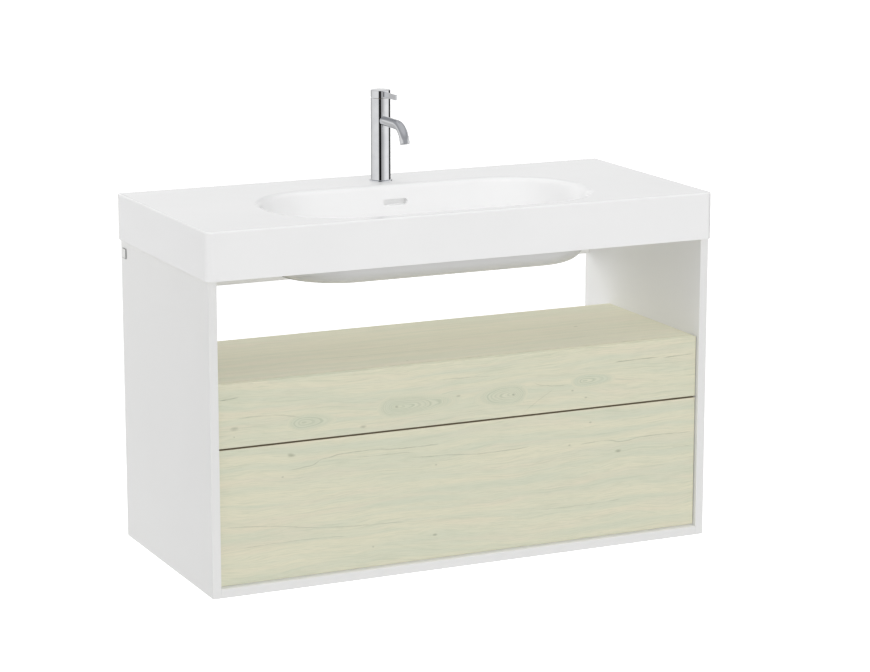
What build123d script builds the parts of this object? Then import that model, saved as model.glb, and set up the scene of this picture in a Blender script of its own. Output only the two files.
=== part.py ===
from build123d import *
import os
from math import cos, radians, sin, tan

# Wall-hung vanity unit, in millimetres. X runs along the width and the unit is centred on x = 0.
# The wall is the plane y = 0, the front faces -Y, and z = 0 is the cabinet's underside.

# Basin
basin_width = 1000
basin_depth = 460
apron_height = 87
apron_wall = 12
deck_thickness = 14
front_corner_radius = 12
rim_radius = 3
hollow_corner_radius = 10
seal_thickness = 1

# Bowl, whose opening is measured where its walls would meet the deck
bowl_half_width = 316
bowl_from_wall = 128.5
bowl_front_margin = 33.5
bowl_end_flat = 9
bowl_slope = 18.5
bowl_wall = 15
bowl_end_wall = 28
bowl_outer_flat = 3
bowl_lip_radius = 14
bowl_floor_depth = 91
bowl_floor_fall = 6
bowl_floor_radius = 40
bowl_bottom_depth = 127
bowl_bottom_radius = 33
dish_radius = 88
waste_radius = 23
waste_recess_radius = 32
waste_recess_depth = 2.5

# Overflow, a slot in the bowl's rear wall and a duct down to the waste hole
overflow_width = 50
overflow_height = 11
overflow_drop = 31
duct_inner_wall = 8
duct_gap = 10
duct_outer_wall = 8
duct_side_margin = 2
duct_head = 12
duct_floor_wall = 8
duct_run_height = 11
duct_mouth_width = 26
duct_mouth_reach = 14

# Cabinet
cabinet_height = 569
cabinet_side_inset = 4
cabinet_front_inset = 7
side_thickness = 16
bottom_thickness = 16
shelf_thickness = 16
shelf_top = 383
service_depth = 103
rail_thickness = 16
rail_height = 100
back_thickness = 8
back_inset = 12
groove_depth = 6
groove_play = 1
seal_width = 6
seal_margin = 2

# Drawer fronts
front_thickness = 16
front_setback = 8
front_side_gap = 1.5
front_bottom_gap = 3.5
front_gap = 3
upper_front_height = 114
front_edge_radius = 0.8
press_gap = 3

# Drawer boxes
drawer_rear_gap = 16
upper_box_height = 80
lower_box_height = 160
box_lift = 10
drawer_side_thickness = 12
drawer_back_thickness = 12
drawer_bottom_thickness = 8
drawer_groove_lift = 12
drawer_groove_depth = 6
drawer_groove_play = 0.5
bracket_thickness = 2
bracket_leg = 22
bracket_height = 52
bracket_lift = 8

# Runners, three nested channels on each side of a drawer
runner_space = 13
runner_rear_gap = 32
runner_height = 45
runner_wall = 1.2
runner_play = 0.3
runner_flange = 9.5
runner_setback = 1
runner_lift = 38

# Press latches beside the runners
latch_width = 12
latch_height = 16
latch_length = 62
latch_lift = 35
latch_bore_length = 48
latch_setback = 4
latch_bore_radius = 3.2
plunger_radius = 3
plunger_head_radius = 4.5
plunger_head_length = 3
plunger_length = 46
plunger_tip_gap = 0.3

# Hangers in the top rear corners, hooked over plates on the wall
hanger_width = 18
hanger_depth = 50
hanger_height = 44
hanger_corner_radius = 4
hanger_screw_radius = 4
hanger_screw_spacing = 18
hanger_screw_depth = 5
hanger_rail_gap = 2
hanger_top_gap = 6
hook_thickness = 4
hook_height = 6
hook_insert = 26
hook_nose_length = 14
hook_nose_depth = 3
hook_wall_gap = 1.2
hook_play = 0.3
plate_width = 52
plate_height = 48
plate_thickness = 2.5
plate_stand_off = 5
plate_lip_height = 14
plate_side_gap = 4
plate_hole_radius = 4
plate_hole_spacing = 32
plate_hole_lift = 16
plate_notch_play = 4

# Tap
tap_from_wall = 72
tap_height = 173
tap_radius = 18.5
tap_hole_radius = 17.5
tap_ring_radius = 21.5
tap_ring_height = 2.5
tap_ring_bore = 17
tap_ring_edge = 1
tap_cap_height = 14.5
tap_seam = 0.5
tap_edge = 0.6
lift_angle = 15
lift_relief = 0.7
spout_height = 116
spout_radius = 9
spout_bore = 7
spout_straight = 74
spout_bend_radius = 36
spout_bend_angle = 74
spout_tail = 6
spout_root = 12
aerator_length = 5
aerator_bore = 4.5
aerator_inset = 0.5
aerator_screen = 1
lever_reach = 71.6
lever_thickness = 4
lever_height = 10
lever_top_gap = 2
lever_insert = 4.5
lever_edge = 0.8
channel_radius = 8
channel_start = 30
inlet_radius = 4.5
inlet_length = 12
inlet_spacing = 15
inlet_forward = 6
inlet_port_radius = 2.5
inlet_port_spacing = 8
inlet_port_forward = 3
stud_radius = 4
stud_back = 8
stud_insert = 16
stud_tail = 25
cartridge_radius = 13
cartridge_height = 22
cartridge_neck_radius = 10.3
cartridge_neck_height = 7
cartridge_pocket_radius = 7.4
cartridge_pocket_depth = 6
cartridge_nut_radius = 16
cartridge_nut_height = 8
cartridge_nut_depth = 10
fit_play = 0.05
collar_radius = 8
collar_height = 6
collar_play = 0.3
stem_width = 6
stem_play = 0.2
stem_reach = 13
stem_socket = 10
washer_radius = 24
washer_thickness = 2.5
gasket_thickness = 3
washer_mouth = 32
nut_radius = 7.5
nut_height = 10

# How far a cut runs past a face, and how near an edge is looked for
cut_past = 1
nearby = 0.1

# Places worked out from the sizes
cabinet_half = basin_width / 2 - cabinet_side_inset
inner_half = cabinet_half - side_thickness
cabinet_front = cabinet_front_inset - basin_depth
front_face = cabinet_front + front_setback
front_back = front_face + front_thickness
carcass_front = front_back + press_gap
shelf_rear = -service_depth
shelf_under = shelf_top - shelf_thickness
back_rear = shelf_rear - back_inset
bay_rear = back_rear - back_thickness
drawer_length = bay_rear - drawer_rear_gap - front_back
upper_front_base = shelf_top - upper_front_height
lower_front_base = bottom_thickness + front_bottom_gap
lower_front_top = upper_front_base - front_gap
basin_base = cabinet_height + seal_thickness
deck_top = basin_base + apron_height
deck_under = deck_top - deck_thickness
bowl_half_depth = (basin_depth - bowl_from_wall - bowl_front_margin) / 2
bowl_centre = -(bowl_from_wall + bowl_half_depth)
bowl_corner_radius = bowl_half_depth - bowl_end_flat
bowl_outer_corner_radius = bowl_half_depth + bowl_wall - bowl_outer_flat
floor_edge = deck_top - bowl_floor_depth
floor_centre = floor_edge - bowl_floor_fall
bowl_bottom = deck_top - bowl_bottom_depth
box_half = inner_half - runner_space
runner_front = carcass_front + runner_setback
runner_length = bay_rear - runner_rear_gap - runner_front
plate_centre = inner_half - plate_side_gap - plate_width / 2
hanger_top = cabinet_height - hanger_top_gap
hook_base = hanger_top - hook_height - hook_play
lip_top = hook_base - hook_play
plate_base = lip_top - plate_height
rail_notch_width = plate_width + plate_side_gap + plate_notch_play
rail_notch_base = plate_base - plate_notch_play
tap_centre = -tap_from_wall
tap_base = deck_top + tap_ring_height
tap_top = deck_top + tap_height
cap_base = tap_top - tap_cap_height
body_top = cap_base - tap_seam
seat_base = body_top - cartridge_nut_depth - cartridge_height
nut_seat = seat_base + cartridge_height
spout_level = deck_top + spout_height

os.makedirs("parts", exist_ok=True)


def save(piece, name):
    """Labels a finished piece and writes its file."""
    piece.label = name
    export_step(piece, f"parts/{name}.step")


def middle(low, high):
    """The point halfway between two values."""
    return (low + high) / 2


# Cabinet boards
def grooved_side(side):
    """A side panel with the groove that holds the drawer bay's back, on the left (-1) or the right (1)."""
    with BuildPart() as panel:
        with BuildSketch(Plane.YZ.offset(side * inner_half)):
            with Locations((cabinet_front / 2, cabinet_height / 2)):
                Rectangle(-cabinet_front, cabinet_height)
        extrude(amount=side * side_thickness)
        with BuildSketch(Plane.YZ.offset(side * inner_half)):
            with Locations((back_rear - back_thickness / 2, middle(0, shelf_under + groove_depth))):
                Rectangle(back_thickness, shelf_under + groove_depth)
        extrude(amount=side * groove_depth, mode=Mode.SUBTRACT)
    return panel.part


save(grooved_side(-1), "side_panel_left")
save(grooved_side(1), "side_panel_right")

with BuildPart() as bottom_panel:
    with BuildSketch():
        with Locations((0, cabinet_front / 2)):
            Rectangle(2 * inner_half, -cabinet_front)
    extrude(amount=bottom_thickness)
    with BuildSketch(Plane.XY.offset(bottom_thickness)):
        with Locations((0, back_rear - back_thickness / 2)):
            Rectangle(2 * inner_half, back_thickness)
    extrude(amount=-groove_depth, mode=Mode.SUBTRACT)
save(bottom_panel.part, "bottom_panel")

with BuildPart() as shelf_panel:
    with BuildSketch(Plane.XY.offset(shelf_under)):
        with Locations((0, middle(carcass_front, shelf_rear))):
            Rectangle(2 * inner_half, shelf_rear - carcass_front)
    extrude(amount=shelf_thickness)
    with BuildSketch(Plane.XY.offset(shelf_under)):
        with Locations((0, back_rear - back_thickness / 2)):
            Rectangle(2 * inner_half, back_thickness)
    extrude(amount=groove_depth, mode=Mode.SUBTRACT)
save(shelf_panel.part, "shelf_panel")

with BuildPart() as bay_back_panel:
    back_base = bottom_thickness - groove_depth + groove_play
    back_top = shelf_under + groove_depth - groove_play
    with BuildSketch(Plane.XZ.offset(-back_rear)):
        with Locations((0, middle(back_base, back_top))):
            Rectangle(2 * (inner_half + groove_depth - groove_play), back_top - back_base)
    extrude(amount=back_thickness)
save(bay_back_panel.part, "bay_back_panel")

with BuildPart() as top_rail:
    with BuildSketch(Plane.XZ):
        with Locations((0, cabinet_height - rail_height / 2)):
            Rectangle(2 * inner_half, rail_height)
        notch_level = middle(rail_notch_base, cabinet_height)
        with Locations(
            (inner_half - rail_notch_width / 2, notch_level),
            (rail_notch_width / 2 - inner_half, notch_level),
        ):
            Rectangle(rail_notch_width, cabinet_height - rail_notch_base, mode=Mode.SUBTRACT)
    extrude(amount=rail_thickness)
save(top_rail.part, "top_rail")


# Hangers and wall plates
hanger_rear = -(rail_thickness + hanger_rail_gap)
hook_centre = inner_half - hanger_width / 2


def hanger_housing(side):
    """The box screwed to a side panel, with a slot for the hook and two bores for its adjusting screws."""
    with BuildPart() as housing:
        with BuildSketch(Plane.YZ.offset(side * inner_half)):
            with Locations((hanger_rear - hanger_depth / 2, hanger_top - hanger_height / 2)):
                RectangleRounded(hanger_depth, hanger_height, hanger_corner_radius)
        extrude(amount=-side * hanger_width)
        with BuildSketch(Plane.XZ.offset(-hanger_rear)):
            with Locations((side * hook_centre, hook_base + hook_height / 2)):
                Rectangle(hook_thickness + 2 * hook_play, hook_height + 2 * hook_play)
        extrude(amount=hook_insert + hook_play, mode=Mode.SUBTRACT)
        with BuildSketch(Plane.XZ.offset(hanger_depth - hanger_rear)):
            with Locations((side * hook_centre, hanger_top - hanger_height / 2)):
                with GridLocations(1, hanger_screw_spacing, 1, 2):
                    Circle(hanger_screw_radius)
        extrude(amount=-hanger_screw_depth, mode=Mode.SUBTRACT)
    return housing.part


def hanger_hook(side):
    """The steel hook that reaches back through the rail's notch and down behind the wall plate's lip."""
    with BuildPart() as hook:
        with BuildSketch(Plane.YZ.offset(side * hook_centre - hook_thickness / 2)):
            with BuildLine():
                Polyline(
                    (hanger_rear - hook_insert, hook_base),
                    (hanger_rear - hook_insert, hook_base + hook_height),
                    (-hook_wall_gap, hook_base + hook_height),
                    (-hook_wall_gap, hook_base + hook_height - hook_nose_length),
                    (-hook_wall_gap - hook_nose_depth, hook_base + hook_height - hook_nose_length),
                    (-hook_wall_gap - hook_nose_depth, hook_base),
                    close=True,
                )
            make_face()
        extrude(amount=hook_thickness)
    return hook.part


def wall_plate(side):
    """The plate screwed to the wall, joggled outwards at its top so that the hook can drop behind its lip."""
    jog = lip_top - plate_lip_height
    stand = -plate_stand_off
    with BuildPart() as plate:
        with BuildSketch(Plane.YZ.offset(side * plate_centre - plate_width / 2)):
            with BuildLine():
                Polyline(
                    (0, plate_base),
                    (0, jog),
                    (stand, jog + plate_stand_off),
                    (stand, lip_top),
                    (stand - plate_thickness, lip_top),
                    (stand - plate_thickness, jog + plate_stand_off - plate_thickness / 2),
                    (-plate_thickness, jog - plate_thickness / 2),
                    (-plate_thickness, plate_base),
                    close=True,
                )
            make_face()
        extrude(amount=plate_width)
        with BuildSketch(Plane.XZ):
            with Locations((side * plate_centre, plate_base + plate_hole_lift)):
                with GridLocations(plate_hole_spacing, 1, 2, 1):
                    Circle(plate_hole_radius)
        extrude(amount=plate_thickness, mode=Mode.SUBTRACT)
    return plate.part


for side, hand in ((-1, "left"), (1, "right")):
    save(hanger_housing(side), f"hanger_{hand}")
    save(hanger_hook(side), f"hanger_hook_{hand}")
    save(wall_plate(side), f"wall_plate_{hand}")

# Bedding seal between the cabinet's top edges and the basin
seal_outer = cabinet_half - seal_margin
with BuildPart() as basin_seal:
    with BuildSketch(Plane.XY.offset(cabinet_height)):
        with Locations(
            (seal_outer - seal_width / 2, middle(cabinet_front + seal_margin, -seal_margin)),
            (seal_width / 2 - seal_outer, middle(cabinet_front + seal_margin, -seal_margin)),
        ):
            Rectangle(seal_width, -cabinet_front - 2 * seal_margin)
        with Locations((0, -seal_margin - seal_width / 2)):
            Rectangle(2 * (inner_half - rail_notch_width), seal_width)
    extrude(amount=seal_thickness)
save(basin_seal.part, "basin_seal")


# Basin
def bowl_step(level):
    """How far the bowl's walls have leant inwards from the deck down to a height."""
    return (deck_top - level) * tan(radians(bowl_slope))


def rear_wall(level):
    """Where the bowl's rear wall stands at a height, on its inside."""
    return -bowl_from_wall - bowl_step(level)


with BuildPart() as bowl_void:
    with BuildSketch(Plane.XY.offset(deck_top)):
        with Locations((0, bowl_centre)):
            RectangleRounded(2 * bowl_half_width, 2 * bowl_half_depth, bowl_corner_radius)
    extrude(amount=-bowl_floor_depth, taper=bowl_slope)
    fillet(bowl_void.faces().sort_by(Axis.Z)[0].edges(), bowl_floor_radius)
    with Locations((0, bowl_centre, middle(floor_centre, floor_edge))):
        Cone(waste_recess_radius, dish_radius, bowl_floor_fall)

with BuildPart() as bowl_body:
    casting_top = deck_top - deck_thickness / 2
    lean = bowl_step(casting_top)
    with BuildSketch(Plane.XY.offset(casting_top)):
        with Locations((0, bowl_centre)):
            RectangleRounded(
                2 * (bowl_half_width + bowl_end_wall - lean),
                2 * (bowl_half_depth + bowl_wall - lean),
                bowl_outer_corner_radius - lean,
            )
    extrude(amount=bowl_bottom - casting_top, taper=bowl_slope)
    fillet(bowl_body.faces().sort_by(Axis.Z)[0].edges(), bowl_bottom_radius)
    # Housing of the overflow duct, down the back of the bowl
    boss_back = duct_inner_wall + duct_gap + duct_outer_wall
    with BuildSketch(Plane.YZ):
        with BuildLine():
            Polyline(
                (rear_wall(casting_top) + boss_back, casting_top),
                (rear_wall(bowl_bottom) + boss_back, bowl_bottom + duct_floor_wall),
                (rear_wall(bowl_bottom) + boss_back - duct_floor_wall, bowl_bottom),
                (bowl_centre, bowl_bottom),
                (rear_wall(floor_edge), floor_edge),
                (rear_wall(casting_top) + duct_inner_wall, casting_top),
                close=True,
            )
        make_face()
    extrude(amount=overflow_width / 2 + duct_side_margin + duct_outer_wall, both=True)

with BuildPart() as overflow_duct:
    duct_top = deck_top - overflow_drop + duct_head
    duct_floor = bowl_bottom + duct_floor_wall
    duct_ceiling = duct_floor + duct_run_height
    with BuildSketch(Plane.YZ):
        with BuildLine():
            Polyline(
                (rear_wall(duct_top) + duct_inner_wall, duct_top),
                (rear_wall(duct_top) + duct_inner_wall + duct_gap, duct_top),
                (rear_wall(duct_floor) + duct_inner_wall + duct_gap, duct_floor),
                (rear_wall(duct_floor), duct_floor),
                (rear_wall(duct_ceiling), duct_ceiling),
                (rear_wall(duct_ceiling) + duct_inner_wall, duct_ceiling),
                close=True,
            )
        make_face()
    extrude(amount=overflow_width / 2 + duct_side_margin, both=True)
    with BuildSketch(Plane.XY.offset(duct_floor)):
        with BuildLine():
            Polyline(
                (-overflow_width / 2 - duct_side_margin, rear_wall(duct_floor) + duct_gap),
                (overflow_width / 2 + duct_side_margin, rear_wall(duct_floor) + duct_gap),
                (duct_mouth_width / 2, bowl_centre + duct_mouth_reach),
                (-duct_mouth_width / 2, bowl_centre + duct_mouth_reach),
                close=True,
            )
        make_face()
    extrude(amount=duct_run_height)
    with BuildSketch(Plane.XZ.offset(-rear_wall(deck_top - overflow_drop) + overflow_height)):
        with Locations((0, deck_top - overflow_drop)):
            SlotOverall(overflow_width, overflow_height)
    extrude(amount=-(overflow_height + duct_inner_wall + duct_gap / 2))

with BuildPart() as basin:
    with BuildSketch(Plane.XY.offset(basin_base)):
        with Locations((0, -basin_depth / 2)):
            Rectangle(basin_width, basin_depth)
    extrude(amount=apron_height)
    fillet(basin.edges().filter_by(Axis.Z).group_by(Axis.Y)[0], front_corner_radius)
    fillet(basin.faces().sort_by(Axis.Z)[-1].edges(), rim_radius)
    with BuildSketch(Plane.XY.offset(basin_base)):
        with Locations((0, -basin_depth / 2)):
            RectangleRounded(
                basin_width - 2 * apron_wall, basin_depth - 2 * apron_wall, hollow_corner_radius
            )
    extrude(amount=apron_height - deck_thickness, mode=Mode.SUBTRACT)
    add(bowl_body.part)
    add(bowl_void.part, mode=Mode.SUBTRACT)
    lip = basin.edges().filter_by_position(Axis.Z, deck_top - nearby, deck_top + nearby)
    lip = lip.filter_by_position(Axis.X, -bowl_half_width - nearby, bowl_half_width + nearby)
    lip_front = bowl_centre - bowl_half_depth - nearby
    lip = lip.filter_by_position(Axis.Y, lip_front, bowl_centre + bowl_half_depth + nearby)
    fillet(lip, bowl_lip_radius)
    add(overflow_duct.part, mode=Mode.SUBTRACT)
    with Locations((0, bowl_centre, floor_centre)):
        CounterBoreHole(
            waste_radius, waste_recess_radius, waste_recess_depth, floor_centre - bowl_bottom + cut_past
        )
    with Locations((0, tap_centre, deck_top)):
        Hole(tap_hole_radius, deck_thickness + cut_past)
save(basin.part, "basin")

# Tap
with BuildPart() as tap_base_ring:
    with BuildSketch(Plane.XY.offset(deck_top)):
        with Locations((0, tap_centre)):
            Circle(tap_ring_radius)
            Circle(tap_ring_bore, mode=Mode.SUBTRACT)
    extrude(amount=tap_ring_height)
    top_circles = tap_base_ring.edges().filter_by(GeomType.CIRCLE).group_by(Axis.Z)[-1]
    chamfer(top_circles.sort_by(SortBy.RADIUS)[-1], tap_ring_edge)
save(tap_base_ring.part, "tap_base_ring")

with BuildPart() as tap_body:
    with BuildSketch(Plane.XY.offset(tap_base)):
        with Locations((0, tap_centre)):
            Circle(tap_radius)
    extrude(amount=body_top - tap_base)
    with Locations((0, tap_centre, body_top)):
        CounterBoreHole(
            cartridge_radius + fit_play, cartridge_nut_radius, cartridge_nut_depth, body_top - seat_base
        )
    with Locations((0, tap_centre, seat_base)):
        Hole(channel_radius, seat_base - tap_base - channel_start)
    with BuildSketch(Plane.XY.offset(tap_base)):
        with Locations((0, tap_centre - inlet_forward)):
            with GridLocations(inlet_spacing, 1, 2, 1):
                Circle(inlet_radius)
    extrude(amount=inlet_length, mode=Mode.SUBTRACT)
    with BuildSketch(Plane.XY.offset(tap_base + inlet_length - inlet_port_radius)):
        with Locations((0, tap_centre - inlet_port_forward)):
            with GridLocations(inlet_port_spacing, 1, 2, 1):
                Circle(inlet_port_radius)
    extrude(amount=channel_start - inlet_length + 2 * inlet_port_radius, mode=Mode.SUBTRACT)
    with BuildSketch(Plane.XY.offset(tap_base)):
        with Locations((0, tap_centre + stud_back)):
            Circle(stud_radius)
    extrude(amount=stud_insert, mode=Mode.SUBTRACT)
    with BuildSketch(Plane.XZ.offset(tap_from_wall)):
        with Locations((0, spout_level)):
            Circle(spout_radius)
    extrude(amount=tap_radius + cut_past, mode=Mode.SUBTRACT)
save(tap_body.part, "tap_body")

# The spout's centre line: a straight run, one bend and a short tail
bend = radians(spout_bend_angle)
bend_start = (tap_centre - spout_straight, spout_level)
bend_end = (
    bend_start[0] - spout_bend_radius * sin(bend),
    spout_level - spout_bend_radius * (1 - cos(bend)),
)
spout_end = (bend_end[0] - spout_tail * cos(bend), bend_end[1] - spout_tail * sin(bend))
outlet = Plane(
    origin=(0, spout_end[0], spout_end[1]),
    x_dir=(1, 0, 0),
    z_dir=(0, -cos(bend), -sin(bend)),
)

with BuildPart() as tap_spout:
    with BuildLine(Plane.YZ) as spout_line:
        Line((tap_centre - spout_root, spout_level), bend_start)
        TangentArc(bend_start, bend_end, tangent=(-1, 0))
        Line(bend_end, spout_end)
    with BuildSketch(Plane.XZ.offset(tap_from_wall + spout_root)):
        with Locations((0, spout_level)):
            Circle(spout_radius)
            Circle(spout_bore, mode=Mode.SUBTRACT)
    sweep(path=spout_line.line)
save(tap_spout.part, "tap_spout")

with BuildPart() as tap_aerator:
    with BuildSketch(outlet.offset(-aerator_inset)):
        Circle(spout_bore)
        Circle(aerator_bore, mode=Mode.SUBTRACT)
    extrude(amount=-aerator_length)
    with BuildSketch(outlet.offset(-aerator_inset - aerator_length / 2)):
        Circle(aerator_bore)
    extrude(amount=-aerator_screen)
save(tap_aerator.part, "tap_aerator")

with BuildPart() as tap_cartridge:
    with BuildSketch(Plane.XY.offset(seat_base)):
        with Locations((0, tap_centre)):
            Circle(cartridge_radius)
    extrude(amount=cartridge_height)
    with BuildSketch(Plane.XY.offset(nut_seat)):
        with Locations((0, tap_centre)):
            Circle(cartridge_neck_radius)
    extrude(amount=cartridge_neck_height)
    with Locations((0, tap_centre, nut_seat + cartridge_neck_height)):
        CounterBoreHole(
            cartridge_pocket_radius,
            collar_radius + fit_play,
            cartridge_neck_height,
            cartridge_neck_height + cartridge_pocket_depth,
        )
save(tap_cartridge.part, "tap_cartridge")

with BuildPart() as tap_cartridge_nut:
    with BuildSketch(Plane.XY.offset(nut_seat)):
        with Locations((0, tap_centre)):
            Circle(cartridge_nut_radius)
            Circle(cartridge_neck_radius + fit_play, mode=Mode.SUBTRACT)
    extrude(amount=cartridge_nut_height)
save(tap_cartridge_nut.part, "tap_cartridge_nut")

# The collar turns in the cartridge, and the stem tilts in the collar's slot
lift_swing = (cap_base - nut_seat) * tan(radians(lift_angle))
with BuildPart() as tap_cartridge_collar:
    with BuildSketch(Plane.XY.offset(nut_seat + collar_play)):
        with Locations((0, tap_centre)):
            Circle(collar_radius)
        slot_front = tap_centre - stem_width / 2 - stem_play - lift_swing
        slot_rear = tap_centre + stem_width / 2 + stem_play
        with Locations((0, middle(slot_front, slot_rear))):
            Rectangle(stem_width + 2 * stem_play, slot_rear - slot_front, mode=Mode.SUBTRACT)
    extrude(amount=collar_height)
save(tap_cartridge_collar.part, "tap_cartridge_collar")

with BuildPart() as tap_stem:
    with BuildSketch(Plane.XY.offset(cap_base - stem_reach)):
        with Locations((0, tap_centre)):
            Rectangle(stem_width, stem_width)
    extrude(amount=stem_reach + stem_socket)
save(tap_stem.part, "tap_stem")

lever_top = tap_top - lever_top_gap
lever_base = lever_top - lever_height
with BuildPart() as tap_cap:
    with BuildSketch(Plane.XY.offset(cap_base)):
        with Locations((0, tap_centre)):
            Circle(tap_radius)
    extrude(amount=tap_cap_height)
    chamfer(tap_cap.faces().sort_by(Axis.Z)[-1].edges(), tap_edge)
    with BuildSketch(Plane.YZ):
        with BuildLine():
            Polyline(
                (tap_centre, cap_base),
                (tap_centre + 2 * tap_radius, cap_base),
                (
                    tap_centre + 2 * tap_radius,
                    cap_base + 2 * tap_radius * tan(radians(lift_angle + lift_relief)),
                ),
                close=True,
            )
        make_face()
    extrude(amount=tap_radius + cut_past, both=True, mode=Mode.SUBTRACT)
    with BuildSketch(Plane.XY.offset(cap_base)):
        with Locations((0, tap_centre)):
            Rectangle(stem_width, stem_width)
    extrude(amount=stem_socket, mode=Mode.SUBTRACT)
    with BuildSketch(Plane.XZ.offset(tap_from_wall + tap_radius - lever_insert)):
        with Locations((0, middle(lever_base, lever_top))):
            Rectangle(lever_thickness, lever_height)
    extrude(amount=tap_radius, mode=Mode.SUBTRACT)
save(tap_cap.part, "tap_cap")

with BuildPart() as tap_lever:
    with BuildSketch(Plane.XZ.offset(tap_from_wall + tap_radius - lever_insert)):
        with Locations((0, middle(lever_base, lever_top))):
            Rectangle(lever_thickness, lever_height)
    extrude(amount=lever_reach - tap_radius + lever_insert)
    fillet(tap_lever.faces().sort_by(Axis.Y)[0].edges(), lever_edge)
save(tap_lever.part, "tap_lever")


def washer_outline():
    """Draws a horseshoe washer's outline, open at the front for the supply hoses."""
    with Locations((0, tap_centre)):
        Circle(washer_radius)
    with Locations((0, tap_centre - washer_radius / 2)):
        Rectangle(washer_mouth, washer_radius, mode=Mode.SUBTRACT)
    with Locations((0, tap_centre + stud_back)):
        Circle(stud_radius, mode=Mode.SUBTRACT)


washer_top = deck_under - gasket_thickness
nut_top = washer_top - washer_thickness
with BuildPart() as tap_gasket:
    with BuildSketch(Plane.XY.offset(washer_top)):
        washer_outline()
    extrude(amount=gasket_thickness)
save(tap_gasket.part, "tap_gasket")

with BuildPart() as tap_horseshoe:
    with BuildSketch(Plane.XY.offset(nut_top)):
        washer_outline()
    extrude(amount=washer_thickness)
save(tap_horseshoe.part, "tap_horseshoe")

with BuildPart() as tap_nut:
    with BuildSketch(Plane.XY.offset(nut_top - nut_height)):
        with Locations((0, tap_centre + stud_back)):
            RegularPolygon(nut_radius, 6)
            Circle(stud_radius, mode=Mode.SUBTRACT)
    extrude(amount=nut_height)
save(tap_nut.part, "tap_nut")

with BuildPart() as tap_stud:
    stud_base = nut_top - nut_height - stud_tail
    with BuildSketch(Plane.XY.offset(stud_base)):
        with Locations((0, tap_centre + stud_back)):
            Circle(stud_radius)
    extrude(amount=tap_base + stud_insert - stud_base)
save(tap_stud.part, "tap_stud")


# Drawers
def drawer_front(base, top):
    """A front board with softly rounded face edges."""
    with BuildPart() as front:
        with BuildSketch(Plane.XZ.offset(-front_back)):
            with Locations((0, middle(base, top))):
                Rectangle(2 * (inner_half - front_side_gap), top - base)
        extrude(amount=front_thickness)
        fillet(front.faces().sort_by(Axis.Y)[0].edges(), front_edge_radius)
    return front.part


def drawer_side(side, base, height):
    """A drawer box's side board, grooved inside for the bottom."""
    outer = side * box_half
    with BuildPart() as board:
        with BuildSketch(Plane.YZ.offset(outer)):
            with Locations((front_back + drawer_length / 2, base + height / 2)):
                Rectangle(drawer_length, height)
        extrude(amount=-side * drawer_side_thickness)
        with BuildSketch(Plane.YZ.offset(outer - side * drawer_side_thickness)):
            with Locations(
                (front_back + drawer_length / 2, base + drawer_groove_lift + drawer_bottom_thickness / 2)
            ):
                Rectangle(drawer_length, drawer_bottom_thickness)
        extrude(amount=side * drawer_groove_depth, mode=Mode.SUBTRACT)
    return board.part


def drawer_bottom(base):
    """A drawer bottom, housed in the grooves of both sides."""
    half = box_half - drawer_side_thickness + drawer_groove_depth - drawer_groove_play
    with BuildPart() as bottom:
        with BuildSketch(Plane.XY.offset(base + drawer_groove_lift)):
            with Locations((0, front_back + drawer_length / 2)):
                Rectangle(2 * half, drawer_length)
        extrude(amount=drawer_bottom_thickness)
    return bottom.part


def drawer_back(base, height):
    """A drawer back, standing on the bottom between the sides."""
    foot = base + drawer_groove_lift + drawer_bottom_thickness
    with BuildPart() as back:
        with BuildSketch(Plane.XZ.offset(-front_back - drawer_length)):
            with Locations((0, middle(foot, base + height))):
                Rectangle(2 * (box_half - drawer_side_thickness), base + height - foot)
        extrude(amount=drawer_back_thickness)
    return back.part


def front_brackets(base):
    """The two angle brackets that hold a front to its box."""
    corner = box_half - drawer_side_thickness
    foot = base + drawer_groove_lift + drawer_bottom_thickness + bracket_lift
    with BuildPart() as brackets:
        with BuildSketch(Plane.XY.offset(foot)):
            with Locations(
                (corner - bracket_leg / 2, front_back + bracket_leg / 2),
                (bracket_leg / 2 - corner, front_back + bracket_leg / 2),
            ):
                Rectangle(bracket_leg, bracket_leg)
            with Locations(
                (corner - bracket_leg / 2 - bracket_thickness, front_back + bracket_leg / 2 + bracket_thickness),
                (bracket_leg / 2 + bracket_thickness - corner, front_back + bracket_leg / 2 + bracket_thickness),
            ):
                Rectangle(bracket_leg, bracket_leg, mode=Mode.SUBTRACT)
        extrude(amount=bracket_height)
    return brackets.part


def channel(side, web_from, mouth, depth, height, centre):
    """A runner channel with its web against web_from, measured from the cabinet side inwards.

    mouth is 1 where the channel opens towards the drawer and -1 where it opens towards the cabinet side.
    """
    web = side * (inner_half - web_from)
    toward = -side * mouth
    with BuildPart() as member:
        with BuildSketch(Plane.XZ.offset(-runner_front - runner_length)):
            with Locations((web + toward * depth / 2, centre)):
                Rectangle(depth, height)
            with Locations((web + toward * (depth / 2 + runner_wall), centre)):
                Rectangle(depth, height - 2 * runner_wall, mode=Mode.SUBTRACT)
        extrude(amount=runner_length)
    return member.part


def latch_places(centre):
    """Centres of the two press latches of one drawer, across the width and up."""
    place = inner_half - latch_width / 2
    return (place, centre), (-place, centre)


def plungers(centre):
    """The two sprung plungers behind one front."""
    tip = front_back + plunger_tip_gap
    with BuildPart() as pair:
        with BuildSketch(Plane.XZ.offset(-tip - plunger_head_length)):
            with Locations(*latch_places(centre)):
                Circle(plunger_head_radius)
        extrude(amount=plunger_head_length)
        with BuildSketch(Plane.XZ.offset(-tip - plunger_length)):
            with Locations(*latch_places(centre)):
                Circle(plunger_radius)
        extrude(amount=plunger_length - plunger_head_length)
    return pair.part


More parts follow.
